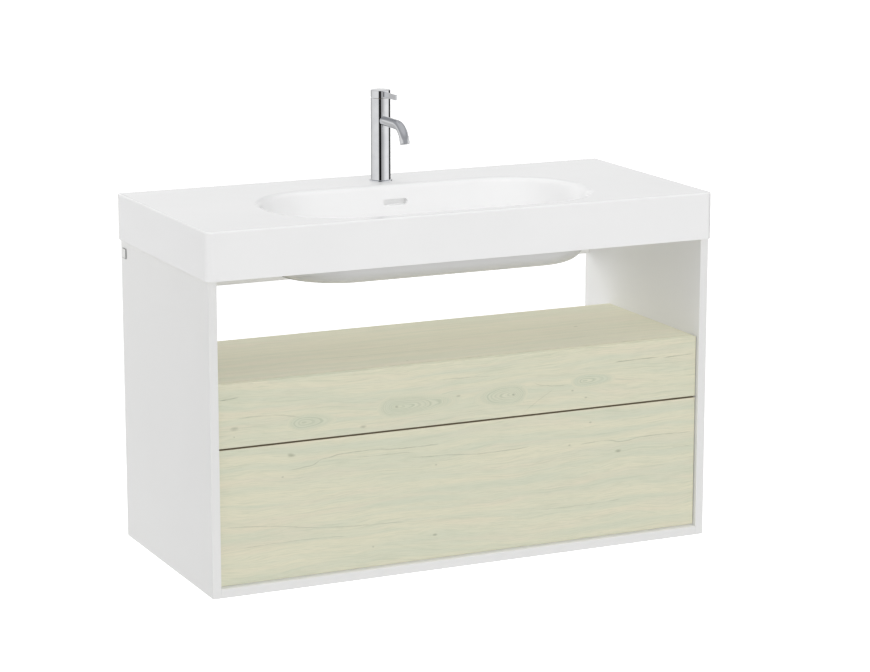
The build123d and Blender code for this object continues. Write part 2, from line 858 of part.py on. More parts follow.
nested = runner_wall + runner_play
for name, base, box_height, front_base, front_top in (
    ("upper", upper_front_base + box_lift, upper_box_height, upper_front_base, shelf_top),
    ("lower", lower_front_base + box_lift, lower_box_height, lower_front_base, lower_front_top),
):
    save(drawer_front(front_base, front_top), f"{name}_front")
    save(drawer_bottom(base), f"{name}_drawer_bottom")
    save(drawer_back(base, box_height), f"{name}_drawer_back")
    save(front_brackets(base), f"{name}_front_brackets")
    save(plungers(base + runner_lift + latch_lift), f"{name}_plungers")
    for side, hand in ((-1, "left"), (1, "right")):
        save(drawer_side(side, base, box_height), f"{name}_drawer_side_{hand}")
        level = base + runner_lift
        cabinet_member = channel(side, 0, 1, runner_flange, runner_height, level)
        save(cabinet_member, f"{name}_runner_cabinet_{hand}")
        middle_height = runner_height - 2 * nested
        middle_member = channel(side, nested, 1, runner_flange, middle_height, level)
        save(middle_member, f"{name}_runner_middle_{hand}")
        drawer_depth = runner_space - 2 * nested
        drawer_member = channel(side, runner_space, -1, drawer_depth, middle_height - 2 * nested, level)
        save(drawer_member, f"{name}_runner_drawer_{hand}")

with BuildPart() as latch_housings:
    housing_front = carcass_front + latch_setback
    upper_latch = upper_front_base + box_lift + runner_lift + latch_lift
    lower_latch = lower_front_base + box_lift + runner_lift + latch_lift
    places = latch_places(upper_latch) + latch_places(lower_latch)
    with BuildSketch(Plane.XZ.offset(-housing_front - latch_length)):
        with Locations(*places):
            Rectangle(latch_width, latch_height)
    extrude(amount=latch_length)
    with BuildSketch(Plane.XZ.offset(-housing_front - latch_bore_length)):
        with Locations(*places):
            Circle(latch_bore_radius)
    extrude(amount=latch_bore_length, mode=Mode.SUBTRACT)
save(latch_housings.part, "latch_housings")
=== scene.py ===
"""Wall-hung vanity unit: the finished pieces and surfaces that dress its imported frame."""

import logging
import math
import random
from collections.abc import Sequence
from dataclasses import dataclass
from enum import Enum

import bmesh
import bpy
from mathutils import Matrix, Vector


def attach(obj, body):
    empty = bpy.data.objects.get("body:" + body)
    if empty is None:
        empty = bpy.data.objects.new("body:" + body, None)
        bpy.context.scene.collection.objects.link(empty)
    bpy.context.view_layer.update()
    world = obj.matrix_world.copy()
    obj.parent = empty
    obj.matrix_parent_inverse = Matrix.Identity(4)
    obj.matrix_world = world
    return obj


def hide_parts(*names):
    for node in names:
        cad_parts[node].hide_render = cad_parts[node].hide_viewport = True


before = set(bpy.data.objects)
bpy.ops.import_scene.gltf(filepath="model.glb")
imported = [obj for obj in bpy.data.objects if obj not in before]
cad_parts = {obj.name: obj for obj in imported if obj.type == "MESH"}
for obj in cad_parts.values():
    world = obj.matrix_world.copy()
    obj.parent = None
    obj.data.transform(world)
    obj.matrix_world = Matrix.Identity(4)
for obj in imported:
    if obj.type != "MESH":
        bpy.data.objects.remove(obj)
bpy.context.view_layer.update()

log = logging.getLogger("vanity_unit")

Point = tuple[float, float, float]
Colour = tuple[float, float, float, float]
Signal = bpy.types.NodeSocket | float

WALL_SIDE = Vector((0.0, 1.0, 0.0))
ROOM_SIDE = Vector((0.0, -1.0, 0.0))
UPWARDS = Vector((0.0, 0.0, 1.0))

# The radii of screw heads, in metres
ADJUSTER_HEAD = 0.0034
PLATE_HEAD = 0.0046
BRACKET_HEAD = 0.0032


def screen(red: float, green: float, blue: float) -> Colour:
    """Turns screen values from 0 to 255 into the linear colour that a shader takes.

    Args:
        red: The red value.
        green: The green value.
        blue: The blue value.

    Returns:
        The linear colour, opaque.
    """
    parts = [value / 255 for value in (red, green, blue)]
    linear = [p / 12.92 if p < 0.04 else ((p + 0.055) / 1.055) ** 2.4 for p in parts]
    return (linear[0], linear[1], linear[2], 1.0)


class NodeWork:
    """A node tree in the making, with short calls for its nodes."""

    def __init__(self, tree: bpy.types.NodeTree) -> None:
        """Takes over a node tree.

        Args:
            tree: The tree of a material or a world.
        """
        self.nodes = tree.nodes
        self.links = tree.links

    def feed(self, socket: bpy.types.NodeSocket, value: object) -> None:
        """Links a node's output to a socket, or writes a plain value on it."""
        if isinstance(value, bpy.types.NodeSocket):
            self.links.new(value, socket)
        else:
            socket.default_value = value

    def calc(self, operation: str, a: Signal, b: Signal = 0.0, clamp: bool = False) -> Signal:
        """Works out one sum.

        Args:
            operation: Blender's name for the sum.
            a: The first value.
            b: The second value, where the sum has one.
            clamp: Whether the answer is kept from 0 to 1.

        Returns:
            The answer's socket.
        """
        node = self.nodes.new("ShaderNodeMath")
        node.operation = operation
        node.use_clamp = clamp
        self.feed(node.inputs[0], a)
        self.feed(node.inputs[1], b)
        return node.outputs[0]

    def add(self, a: Signal, b: Signal) -> Signal:
        """Adds two values."""
        return self.calc("ADD", a, b)

    def less(self, a: Signal, b: Signal) -> Signal:
        """Takes b from a."""
        return self.calc("SUBTRACT", a, b)

    def times(self, a: Signal, b: Signal) -> Signal:
        """Multiplies two values."""
        return self.calc("MULTIPLY", a, b)

    def most(self, a: Signal, b: Signal) -> Signal:
        """The larger of two values."""
        return self.calc("MAXIMUM", a, b)

    def apart(self, a: Signal, b: Signal) -> Signal:
        """How far two values are apart."""
        return self.calc("ABSOLUTE", self.less(a, b))

    def reach(self, a: Signal, b: Signal) -> Signal:
        """How far off a place is, from its distances on two axes."""
        return self.calc("SQRT", self.add(self.times(a, a), self.times(b, b)))

    def split(self, vector: bpy.types.NodeSocket) -> tuple[Signal, Signal, Signal]:
        """Splits a vector into its three parts."""
        node = self.nodes.new("ShaderNodeSeparateXYZ")
        self.feed(node.inputs[0], vector)
        return (node.outputs[0], node.outputs[1], node.outputs[2])

    def join(self, x: Signal, y: Signal, z: Signal) -> bpy.types.NodeSocket:
        """Joins three values into a vector."""
        node = self.nodes.new("ShaderNodeCombineXYZ")
        for socket, value in zip(node.inputs, (x, y, z)):
            self.feed(socket, value)
        return node.outputs[0]

    def band(
        self, value: Signal, start: float, end: float, low: float = 0.0, high: float = 1.0
    ) -> Signal:
        """Eases from low to high as a value goes from start to end.

        Args:
            value: The value that is read.
            start: Where the change starts.
            end: Where the change ends.
            low: What comes out up to the start.
            high: What comes out from the end.

        Returns:
            The eased value's socket.
        """
        node = self.nodes.new("ShaderNodeMapRange")
        node.interpolation_type = "SMOOTHSTEP"
        numbers = (start, end, low, high) if start <= end else (end, start, high, low)
        self.feed(node.inputs["Value"], value)
        for label, number in zip(("From Min", "From Max", "To Min", "To Max"), numbers):
            node.inputs[label].default_value = number
        return node.outputs["Result"]

    def mix(self, share: Signal, a: object, b: object) -> bpy.types.NodeSocket:
        """Mixes two colours, with all of b where the share is 1."""
        node = self.nodes.new("ShaderNodeMix")
        node.data_type = "RGBA"
        self.feed(node.inputs[0], share)
        self.feed(node.inputs[6], a)
        self.feed(node.inputs[7], b)
        return node.outputs[2]

    def follow(self, along: Signal, points: Sequence[tuple[float, float]]) -> Signal:
        """A smooth line through points, read at a value along it.

        Args:
            along: The value along the line, in the points' own unit.
            points: The places and heights that the line goes through, in order.

        Returns:
            The line's height at that value.
        """
        first, last = points[0][0], points[-1][0]
        low = min(height for _, height in points)
        rise = max(1.0, max(height for _, height in points) - low)
        node = self.nodes.new("ShaderNodeFloatCurve")
        curve = node.mapping.curves[0]
        ends = (curve.points[0], curve.points[1])
        for point, (place, height) in zip(ends, (points[0], points[-1])):
            point.location = ((place - first) / (last - first), (height - low) / rise)
        for place, height in points[1:-1]:
            curve.points.new((place - first) / (last - first), (height - low) / rise)
        node.mapping.update()
        share = self.calc("DIVIDE", self.less(along, first), last - first, clamp=True)
        self.feed(node.inputs["Value"], share)
        return self.add(self.times(node.outputs[0], rise), low)

    def greys(self, share: Signal, steps: Sequence[tuple[float, float]]) -> Signal:
        """Greys all round the room.

        Args:
            share: The way round, from 0 behind the unit, over 0.5 at the camera, to 1.
            steps: The greys, each after its angle from the camera, rightwards, in degrees.

        Returns:
            The grey's socket.
        """
        node = self.nodes.new("ShaderNodeValToRGB")
        elements = node.color_ramp.elements
        while len(elements) > 1:
            elements.remove(elements[-1])
        for index, (angle, grey) in enumerate(steps):
            place = (angle + 180) / 360
            element = elements[0] if index == 0 else elements.new(place)
            element.position = place
            element.color = screen(grey, grey, grey)
        self.feed(node.inputs[0], share)
        return node.outputs[0]

    def light(self, kind: str, colour: object, strength: float = 1.0) -> Signal:
        """Makes a shader that shines, an emission or a background, and returns its socket."""
        node = self.nodes.new(kind)
        self.feed(node.inputs["Color"], colour)
        node.inputs["Strength"].default_value = strength
        return node.outputs[0]

    def choose(self, share: Signal, a: Signal, b: Signal) -> Signal:
        """Mixes two shaders, with all of b where the share is 1."""
        node = self.nodes.new("ShaderNodeMixShader")
        for socket, value in zip(node.inputs, (share, a, b)):
            self.feed(socket, value)
        return node.outputs[0]

    def show(self, kind: str, shader: Signal) -> None:
        """Links the finished shader to an output of the tree."""
        self.feed(self.nodes.new(kind).inputs["Surface"], shader)


class ShaderTree(NodeWork):
    """A material, with short calls for the nodes that make its pattern."""

    def __init__(self, name: str) -> None:
        """Makes the material and its Object coordinates, which are in metres.

        Args:
            name: The material's name.
        """
        self.material = bpy.data.materials.new(name)
        self.material.use_nodes = True
        super().__init__(self.material.node_tree)
        self.shader = self.nodes["Principled BSDF"]
        self.place = self.nodes.new("ShaderNodeTexCoord").outputs["Object"]

    def surface(self, **values: object) -> None:
        """Sets sockets of the shader by their names, written with underscores."""
        for name, value in values.items():
            label = name.replace("_", " ").title().replace("Ior", "IOR")
            self.feed(self.shader.inputs[label], value)

    def stretch(self, x: float, y: float, z: float) -> bpy.types.NodeSocket:
        """Object coordinates stretched by a factor on each axis, for grain and drawn lines."""
        node = self.nodes.new("ShaderNodeMapping")
        node.inputs["Scale"].default_value = (x, y, z)
        self.links.new(self.place, node.inputs["Vector"])
        return node.outputs[0]

    def noise(
        self, where: bpy.types.NodeSocket, scale: float, detail: float = 2.0, rough: float = 0.5
    ) -> Signal:
        """Smooth noise from 0 to 1.

        Args:
            where: The vector it is read at.
            scale: How many humps there are to a unit.
            detail: How many finer layers it has.
            rough: How strong the finer layers are.

        Returns:
            The noise's socket.
        """
        node = self.nodes.new("ShaderNodeTexNoise")
        node.inputs["Scale"].default_value = scale
        node.inputs["Detail"].default_value = detail
        node.inputs["Roughness"].default_value = rough
        self.links.new(where, node.inputs["Vector"])
        return node.outputs[0]

    def cells(self, where: bpy.types.NodeSocket, scale: float) -> bpy.types.NodeSocket:
        """Flat random patches, such as the chips of a particle board."""
        node = self.nodes.new("ShaderNodeTexVoronoi")
        node.inputs["Scale"].default_value = scale
        self.links.new(where, node.inputs["Vector"])
        return node.outputs["Color"]

    def relief(self, height: Signal) -> None:
        """Raises the surface by a height in metres."""
        node = self.nodes.new("ShaderNodeBump")
        node.inputs["Distance"].default_value = 1.0
        self.feed(node.inputs["Height"], height)
        self.links.new(node.outputs[0], self.shader.inputs["Normal"])

    def patched(
        self, value: Signal, start: float, end: float, a: Colour, b: Colour
    ) -> bpy.types.NodeSocket:
        """Turns from one colour to another as a value goes from start to end."""
        return self.mix(self.band(value, start, end), a, b)

    def facing(self) -> tuple[Signal, Signal, Signal]:
        """Which way the true surface faces, as three parts."""
        return self.split(self.nodes.new("ShaderNodeNewGeometry").outputs["True Normal"])


MADE: dict[str, bpy.types.Material] = {}


@dataclass(frozen=True)
class Finish:
    """A surface finish, whose material is made once and then shared.

    Attributes:
        name: The material's name.
    """

    name: str

    def paint(self, tree: ShaderTree) -> None:
        """Makes the finish's nodes."""
        raise NotImplementedError

    def material(self) -> bpy.types.Material:
        """Returns the material, made on the first call."""
        if self.name not in MADE:
            tree = ShaderTree(self.name)
            self.paint(tree)
            MADE[self.name] = tree.material
        return MADE[self.name]


@dataclass(frozen=True)
class GlazedCeramic(Finish):
    """White glaze over a fired clay body, bare where the casting stood in the kiln and at the wall.

    Attributes:
        glaze: The glaze's colour.
        underside_shade: The darker grey painted on the downward faces under the deck, painted shade
            for the bowl's underside.
        clay: The bare body's colour.
        foot: The height of the casting's foot, in metres.
    """

    glaze: Colour = screen(243, 243, 243)
    underside_shade: Colour = screen(222, 222, 222)
    clay: Colour = screen(220, 216, 206)
    foot: float = 0.570

    def paint(self, tree: ShaderTree) -> None:
        """Makes the glaze, its slow waves and its tiny pits, the bare clay, and the painted shade
        under the bowl.
        """
        _, depth, height = tree.split(tree.place)
        cloud = tree.noise(tree.place, 5.0)
        _, _, upwards = tree.facing()
        from_foot = tree.apart(height, self.foot)
        standing = tree.times(tree.band(from_foot, 0.0009, 0.0004), tree.band(upwards, -0.6, -0.9))
        bare = tree.most(standing, tree.band(depth, -0.0012, -0.0007))
        grit = tree.noise(tree.place, 900.0, 3.0, 0.7)
        clay = tree.mix(tree.band(grit, 0.42, 0.72), self.clay, screen(196, 190, 178))
        shade = tree.band(cloud, 0.3, 0.7, 0.0, 0.5)
        glaze = tree.mix(shade, self.glaze, screen(240, 240, 240))
        # Painted shade: downward faces below the deck, the bowl's underside, get a darker grey that
        # stands in for the shade under the bowl.
        under = tree.times(
            tree.band(height, self.foot - 0.0004, self.foot - 0.0009),
            tree.band(upwards, 0.02, -0.10),
        )
        glaze = tree.mix(under, glaze, self.underside_shade)
        tree.surface(
            base_color=tree.mix(bare, glaze, clay),
            roughness=tree.add(tree.times(bare, 0.65), tree.band(cloud, 0.2, 0.8, 0.15, 0.22)),
            specular_ior_level=0.5,
        )
        wave = tree.times(tree.noise(tree.place, 16.0, 1.0), 0.00007)
        pits = tree.times(tree.times(grit, bare), 0.00012)
        tree.relief(tree.add(wave, pits))


@dataclass(frozen=True)
class WhiteBoard(Finish):
    """White foil on particle board, with an edge band at the front and a raw edge at the wall.

    Attributes:
        tint: The foil's colour.
        band_at: Where the front edge band ends, along the depth, in metres.
        raw_from: Where the raw rear edge starts, along the depth, in metres.
    """

    tint: Colour = screen(233, 233, 232)
    band_at: float = -0.4520
    raw_from: float = -0.0005

    def paint(self, tree: ShaderTree) -> None:
        """Makes the foil's pearl texture, its edge band's line and the chips of its raw edge."""
        _, depth, _ = tree.split(tree.place)
        _, towards_wall, _ = tree.facing()
        raw = tree.times(
            tree.band(depth, self.raw_from - 0.0004, self.raw_from),
            tree.band(towards_wall, 0.5, 0.9),
        )
        chips = tree.cells(tree.stretch(1.0, 1.0, 0.55), 420.0)
        shade, _, _ = tree.split(chips)
        board = tree.mix(shade, screen(196, 170, 132), screen(158, 128, 92))
        cloud = tree.noise(tree.place, 3.0)
        foil = tree.mix(tree.band(cloud, 0.3, 0.7, 0.0, 0.6), self.tint, screen(230, 230, 229))
        joint = tree.band(tree.apart(depth, self.band_at), 0.0002, 0.0001, 0.0, 0.22)
        foil = tree.mix(joint, foil, screen(170, 168, 165))
        pearl = tree.noise(tree.place, 1500.0, 2.0)
        tree.surface(
            base_color=tree.mix(raw, foil, board),
            roughness=tree.add(tree.band(cloud, 0.2, 0.8, 0.40, 0.46), tree.times(raw, 0.4)),
            specular_ior_level=0.4,
        )
        ridges = tree.times(tree.times(shade, raw), 0.0002)
        tree.relief(tree.add(tree.times(pearl, 0.000012), ridges))


class Lie(Enum):
    """How a sheet of decor lies, and so which way its pattern is read."""

    UPRIGHT = "upright"
    LEVEL = "level"


@dataclass(frozen=True)
class Swirl:
    """A place where the grain closes into rings, tight at their heart, in millimetres.

    Attributes:
        along: Its heart along the width.
        across: Its heart across the grain.
        left: How far its rings go to the left.
        right: How far its rings go to the right.
        rise: How far its rings go up and down.
        rings: How many rings it has.
    """

    along: float
    across: float
    left: float
    right: float
    rise: float
    rings: float = 7.0


@dataclass(frozen=True)
class Knot:
    """A knot or a pin knot, in millimetres.

    Attributes:
        along: Its middle along the width.
        across: Its middle across the grain.
        radius: Its radius across the grain.
        depth: How dark it is, from 0 to 1.
        slim: How much longer it is along the grain.
    """

    along: float
    across: float
    radius: float
    depth: float = 0.8
    slim: float = 1.5


@dataclass(frozen=True)
class Vein:
    """A dark line in the wood, through points in millimetres, from left to right.

    Attributes:
        points: The places along and across the grain that it goes through.
        width: How wide it is.
        depth: How dark it is, from 0 to 1.
        wander: How far it strays from its line.
    """

    points: tuple[tuple[float, float], ...]
    width: float = 1.2
    depth: float = 0.5
    wander: float = 3.0


# The step between growth rings, in millimetres, and the height of the gap between the fronts, where
# painted shade darkens the fronts' edges
RING_STEP = 5.2
GAP_HEIGHT = 0.2675
# How far from the wall a front's pattern, and how high the shelf's, is read unshifted, in metres,
# and how fast it shifts over the sheet's edge from there
FRONT_READ = 0.445
SHELF_READ = 0.383
EDGE_SLANT = 0.3


@dataclass(frozen=True)
class WashedOak(Finish):
    """A pale washed oak decor: cream and faint green bands, fine fibres, swirls, knots and veins.

    Attributes:
        lie: Which way the sheet lies.
        seed: Where in the pattern this sheet is cut.
        cream: The wood's palest colour.
        green: Its greenish bands.
        blush: Its pinkish yellow bands.
        line: Its dark growth lines.
        crack: Its darkest marks.
        gap: The dark brown painted on the fronts' edges inside the gap between them, painted shade
            for the gap.
        swirls: Its swirls.
        knots: Its knots.
        veins: Its veins.
    """

    lie: Lie = Lie.UPRIGHT
    seed: float = 0.0
    cream: Colour = screen(226, 223, 199)
    green: Colour = screen(209, 214, 194)
    blush: Colour = screen(228, 220, 198)
    line: Colour = screen(188, 194, 170)
    crack: Colour = screen(128, 134, 108)
    gap: Colour = screen(122, 110, 86)
    swirls: tuple[Swirl, ...] = ()
    knots: tuple[Knot, ...] = ()
    veins: tuple[Vein, ...] = ()

    def lay_out(self, tree: ShaderTree) -> tuple[Signal, Signal]:
        """Reads the sheet's own coordinates, in millimetres.

        Args:
            tree: The material in the making.

        Returns:
            The places along and across the grain.
        """
        width, depth, height = tree.split(tree.place)
        if self.lie is Lie.UPRIGHT:
            across = tree.add(height, tree.times(tree.add(depth, FRONT_READ), EDGE_SLANT))
        else:
            across = tree.add(depth, tree.times(tree.less(height, SHELF_READ), EDGE_SLANT))
        return (tree.times(width, 1000.0), tree.times(across, 1000.0))

    def bend_grain(
        self, tree: ShaderTree, along: Signal, across: Signal
    ) -> tuple[Signal, Signal]:
        """Bends the grain slowly, and round each swirl and knot.

        Args:
            tree: The material in the making.
            along: The place along the grain.
            across: The place across it.

        Returns:
            The grain's height, whose level lines are the growth lines, and how near a swirl is.
        """
        slow = tree.join(tree.times(along, 0.0026), tree.times(across, 0.009), self.seed)
        quick = tree.join(tree.times(along, 0.013), tree.times(across, 0.035), self.seed + 4.0)
        height = tree.add(across, tree.band(tree.noise(slow, 1.0), 0.0, 1.0, -17.0, 17.0))
        height = tree.add(height, tree.band(tree.noise(quick, 1.0), 0.0, 1.0, -3.4, 3.4))
        near: Signal = 0.0
        for swirl in self.swirls:
            aside = tree.less(along, swirl.along)
            reach = tree.band(aside, -6.0, 6.0, swirl.left, swirl.right)
            sideways = tree.calc("DIVIDE", aside, reach)
            upwards = tree.calc("DIVIDE", tree.less(across, swirl.across), swirl.rise)
            ring = tree.reach(sideways, upwards)
            ring = tree.add(ring, tree.band(tree.noise(quick, 1.7), 0.0, 1.0, -0.10, 0.10))
            mask = tree.band(ring, 1.05, 0.72)
            closed = tree.times(ring, swirl.rings * RING_STEP)
            kept = tree.times(height, tree.less(1.0, mask))
            height = tree.add(kept, tree.times(closed, mask))
            near = tree.most(near, mask)
        return (height, near)

    def marks(self, tree: ShaderTree, along: Signal, across: Signal) -> tuple[Signal, Signal]:
        """Draws the veins and knots.

        Args:
            tree: The material in the making.
            along: The place along the grain.
            across: The place across it.

        Returns:
            How strong the veins are there, and how strong the knots are.
        """
        ragged = tree.noise(
            tree.join(tree.times(along, 0.05), tree.times(across, 0.12), self.seed + 9.0), 1.0, 3.0
        )
        broken = tree.noise(tree.join(tree.times(along, 0.03), 0.0, self.seed + 2.0), 1.0, 3.0)
        patchy = tree.band(broken, 0.34, 0.6, 0.35, 1.0)
        veins: Signal = 0.0
        for vein in self.veins:
            stray = tree.times(tree.less(ragged, 0.5), vein.wander)
            line = tree.add(tree.follow(along, vein.points), stray)
            gap = tree.apart(across, line)
            mark = tree.band(gap, vein.width, 0.1 * vein.width, 0.0, vein.depth)
            first, last = vein.points[0][0], vein.points[-1][0]
            fade = min(18.0, (last - first) / 4)
            mark = tree.times(mark, tree.band(along, first, first + fade))
            mark = tree.times(mark, tree.band(along, last, last - fade))
            veins = tree.most(veins, tree.times(mark, patchy))
        knots: Signal = 0.0
        for knot in self.knots:
            sideways = tree.calc("DIVIDE", tree.less(along, knot.along), knot.slim * knot.radius)
            upwards = tree.calc("DIVIDE", tree.less(across, knot.across), knot.radius)
            gap = tree.reach(sideways, upwards)
            gap = tree.add(gap, tree.band(ragged, 0.0, 1.0, -0.5, 0.5))
            knots = tree.most(knots, tree.band(gap, 1.15, 0.25, 0.0, knot.depth))
        return (veins, knots)

    def paint(self, tree: ShaderTree) -> None:
        """Makes the bands, fibres, swirls, veins and knots, and the painted shade in the gap
        between the fronts.
        """
        along, across = self.lay_out(tree)
        height, near = self.bend_grain(tree, along, across)

        def strands(length: float, thickness: float, shift: float, detail: float = 2.0) -> Signal:
            """Noise drawn out along the grain, of a length and thickness in millimetres."""
            where = tree.join(
                tree.times(along, 1 / length), tree.times(height, 1 / thickness), self.seed + shift
            )
            return tree.noise(where, 1.0, detail, 0.55)

        wide = tree.band(strands(360.0, 19.0, 0.3), 0.34, 0.68)
        warm = tree.band(strands(260.0, 24.0, 6.1), 0.44, 0.74)
        growth = tree.band(strands(110.0, 3.1, 1.7), 0.52, 0.76, 0.0, 0.44)
        wisps = tree.band(strands(34.0, 2.1, 7.7, 3.0), 0.46, 0.74, 0.0, 0.34)
        fibres = tree.band(strands(46.0, 1.0, 2.9, 1.0), 0.42, 0.75, 0.0, 0.30)
        pores = tree.band(strands(16.0, 0.55, 5.2, 0.0), 0.66, 0.80, 0.0, 0.45)
        rings = tree.calc("SINE", tree.times(height, 2 * math.pi / RING_STEP))
        faint = tree.band(strands(40.0, 8.0, 8.8), 0.3, 0.6, 0.45, 1.0)
        rings = tree.times(tree.band(rings, -0.3, 0.9, 0.0, 0.72), tree.times(near, faint))
        wood = tree.mix(tree.times(wide, 0.66), self.cream, self.green)
        wood = tree.mix(tree.times(warm, 0.55), wood, self.blush)
        wood = tree.mix(tree.times(near, 0.40), wood, self.green)
        dark = tree.most(tree.most(tree.times(growth, tree.less(1.0, near)), wisps), fibres)
        wood = tree.mix(tree.most(dark, rings), wood, self.line)
        wood = tree.mix(tree.times(pores, 0.5), wood, self.line)
        veins, knots = self.marks(tree, along, across)
        wood = tree.mix(veins, wood, self.crack)
        wood = tree.mix(knots, wood, self.crack)
        # Painted shade: the level faces of the fronts' edges at the gap height are painted dark
        # brown, in place of the shadow inside the gap.
        _, _, level = tree.facing()
        _, _, tall = tree.split(tree.place)
        between = tree.band(tree.apart(tall, GAP_HEIGHT), 0.0019, 0.0017)
        between = tree.times(between, tree.band(tree.calc("ABSOLUTE", level), 0.8, 0.9))
        wood = tree.mix(between, wood, self.gap)
        tree.surface(
            base_color=wood,
            roughness=tree.add(tree.times(pores, 0.2), tree.band(wide, 0.0, 1.0, 0.50, 0.56)),
            specular_ior_level=0.3,
        )
        sunk = tree.add(tree.times(pores, 0.00005), tree.times(fibres, 0.00003))
        sunk = tree.add(sunk, tree.times(veins, 0.00006))
        tree.relief(tree.times(sunk, -1.0))


@dataclass(frozen=True)
class Chrome(Finish):
    """Polished chrome plate, with the faint haze of a wiped surface."""

    def paint(self, tree: ShaderTree) -> None:
        """Makes the mirror and its haze."""
        haze = tree.noise(tree.place, 60.0, 3.0)
        tree.surface(
            base_color=tree.patched(haze, 0.35, 0.7, screen(229, 230, 232), screen(222, 223, 226)),
            metallic=1.0,
            roughness=tree.band(haze, 0.3, 0.75, 0.035, 0.07),
        )


@dataclass(frozen=True)
class ZincPlate(Finish):
    """Zinc plated steel, with the spangle and the yellow and blue tints of its passivation."""

    def paint(self, tree: ShaderTree) -> None:
        """Makes the tints, the spangle and the fine scratches."""
        tint = tree.noise(tree.place, 45.0, 2.0)
        spangle, _, _ = tree.split(tree.cells(tree.place, 260.0))
        steel = tree.patched(tint, 0.35, 0.65, screen(176, 180, 184), screen(190, 184, 168))
        steel = tree.mix(tree.times(spangle, 0.35), steel, screen(206, 209, 212))
        tree.surface(
            base_color=steel, metallic=1.0, roughness=tree.band(spangle, 0.0, 1.0, 0.30, 0.46)
        )
        tree.relief(tree.times(tree.noise(tree.place, 900.0, 2.0), 0.000018))


@dataclass(frozen=True)
class RolledSteel(Finish):
    """Galvanised runner steel, rolled along the depth, with drawn lines and oil haze."""

    def paint(self, tree: ShaderTree) -> None:
        """Makes the drawn lines and the haze."""
        drawn = tree.noise(tree.stretch(900.0, 6.0, 900.0), 1.0, 2.0)
        haze = tree.noise(tree.place, 22.0, 2.0)
        steel = tree.patched(drawn, 0.3, 0.7, screen(168, 171, 174), screen(192, 195, 198))
        steel = tree.mix(tree.band(haze, 0.4, 0.75, 0.0, 0.4), steel, screen(186, 184, 176))
        tree.surface(
            base_color=steel, metallic=1.0, roughness=tree.band(haze, 0.3, 0.7, 0.30, 0.42)
        )
        tree.relief(tree.times(drawn, 0.00002))


@dataclass(frozen=True)
class MouldedPlastic(Finish):
    """Moulded plastic with a fine spark-eroded texture and faint flow marks.

    Attributes:
        tint: Its colour.
        flow: The colour of its flow marks.
        gloss: Its roughness.
        grain: How deep the texture is, in metres.
    """

    tint: Colour = screen(200, 201, 203)
    flow: Colour = screen(190, 192, 195)
    gloss: float = 0.42
    grain: float = 0.00003

    def paint(self, tree: ShaderTree) -> None:
        """Makes the texture and the flow marks."""
        flow = tree.noise(tree.stretch(60.0, 14.0, 60.0), 1.0, 3.0)
        grain = tree.noise(tree.place, 1600.0, 2.0)
        tree.surface(
            base_color=tree.patched(flow, 0.4, 0.7, self.tint, self.flow),
            roughness=tree.band(grain, 0.3, 0.7, self.gloss - 0.05, self.gloss + 0.07),
        )
        tree.relief(tree.times(grain, self.grain))


@dataclass(frozen=True)
class Rubber(Finish):
    """Black moulded rubber with a dusty bloom."""

    def paint(self, tree: ShaderTree) -> None:
        """Makes the bloom and the moulding's skin."""
        bloom = tree.noise(tree.place, 180.0, 3.0, 0.65)
        tree.surface(
            base_color=tree.patched(bloom, 0.45, 0.75, screen(38, 38, 40), screen(70, 70, 70)),
            roughness=tree.band(bloom, 0.3, 0.7, 0.7, 0.85),
        )
        tree.relief(tree.times(bloom, 0.00006))


@dataclass(frozen=True)
class Brass(Finish):
    """Turned brass, with tool marks round it and a slight tarnish."""

    def paint(self, tree: ShaderTree) -> None:
        """Makes the tool marks and the tarnish."""
        marks = tree.noise(tree.stretch(40.0, 40.0, 2600.0), 1.0, 1.0)
        tarnish = tree.noise(tree.place, 120.0, 3.0)
        metal = tree.patched(tarnish, 0.4, 0.7, screen(214, 186, 122), screen(178, 142, 84))
        dull = tree.band(tarnish, 0.3, 0.7, 0.2, 0.38)
        tree.surface(base_color=metal, metallic=1.0, roughness=dull)
        tree.relief(tree.times(marks, 0.00002))


@dataclass(frozen=True)
class DrawerBoard(Finish):
    """Light grey drawer board with a printed linen weave."""

    def paint(self, tree: ShaderTree) -> None:
        """Makes the weave from two sets of crossing threads."""
        along = tree.noise(tree.stretch(120.0, 2400.0, 2400.0), 1.0, 1.0)
        upright = tree.noise(tree.stretch(2400.0, 120.0, 120.0), 1.0, 1.0)
        weave = tree.times(tree.add(along, upright), 0.5)
        thread = tree.patched(weave, 0.38, 0.62, screen(206, 205, 201), screen(224, 223, 219))
        tree.surface(base_color=thread, roughness=tree.band(weave, 0.3, 0.7, 0.48, 0.58))
        tree.relief(tree.times(weave, 0.00003))


@dataclass(frozen=True)
class SealFoam(Finish):
    """Closed-cell bedding foam, pale grey, with open cells on its cut faces."""

    def paint(self, tree: ShaderTree) -> None:
        """Makes the cells."""
        shade, _, _ = tree.split(tree.cells(tree.place, 1400.0))
        foam = tree.mix(tree.times(shade, 0.6), screen(176, 177, 178), screen(150, 151, 153))
        tree.surface(base_color=foam, roughness=0.85)
        tree.relief(tree.times(shade, 0.00008))


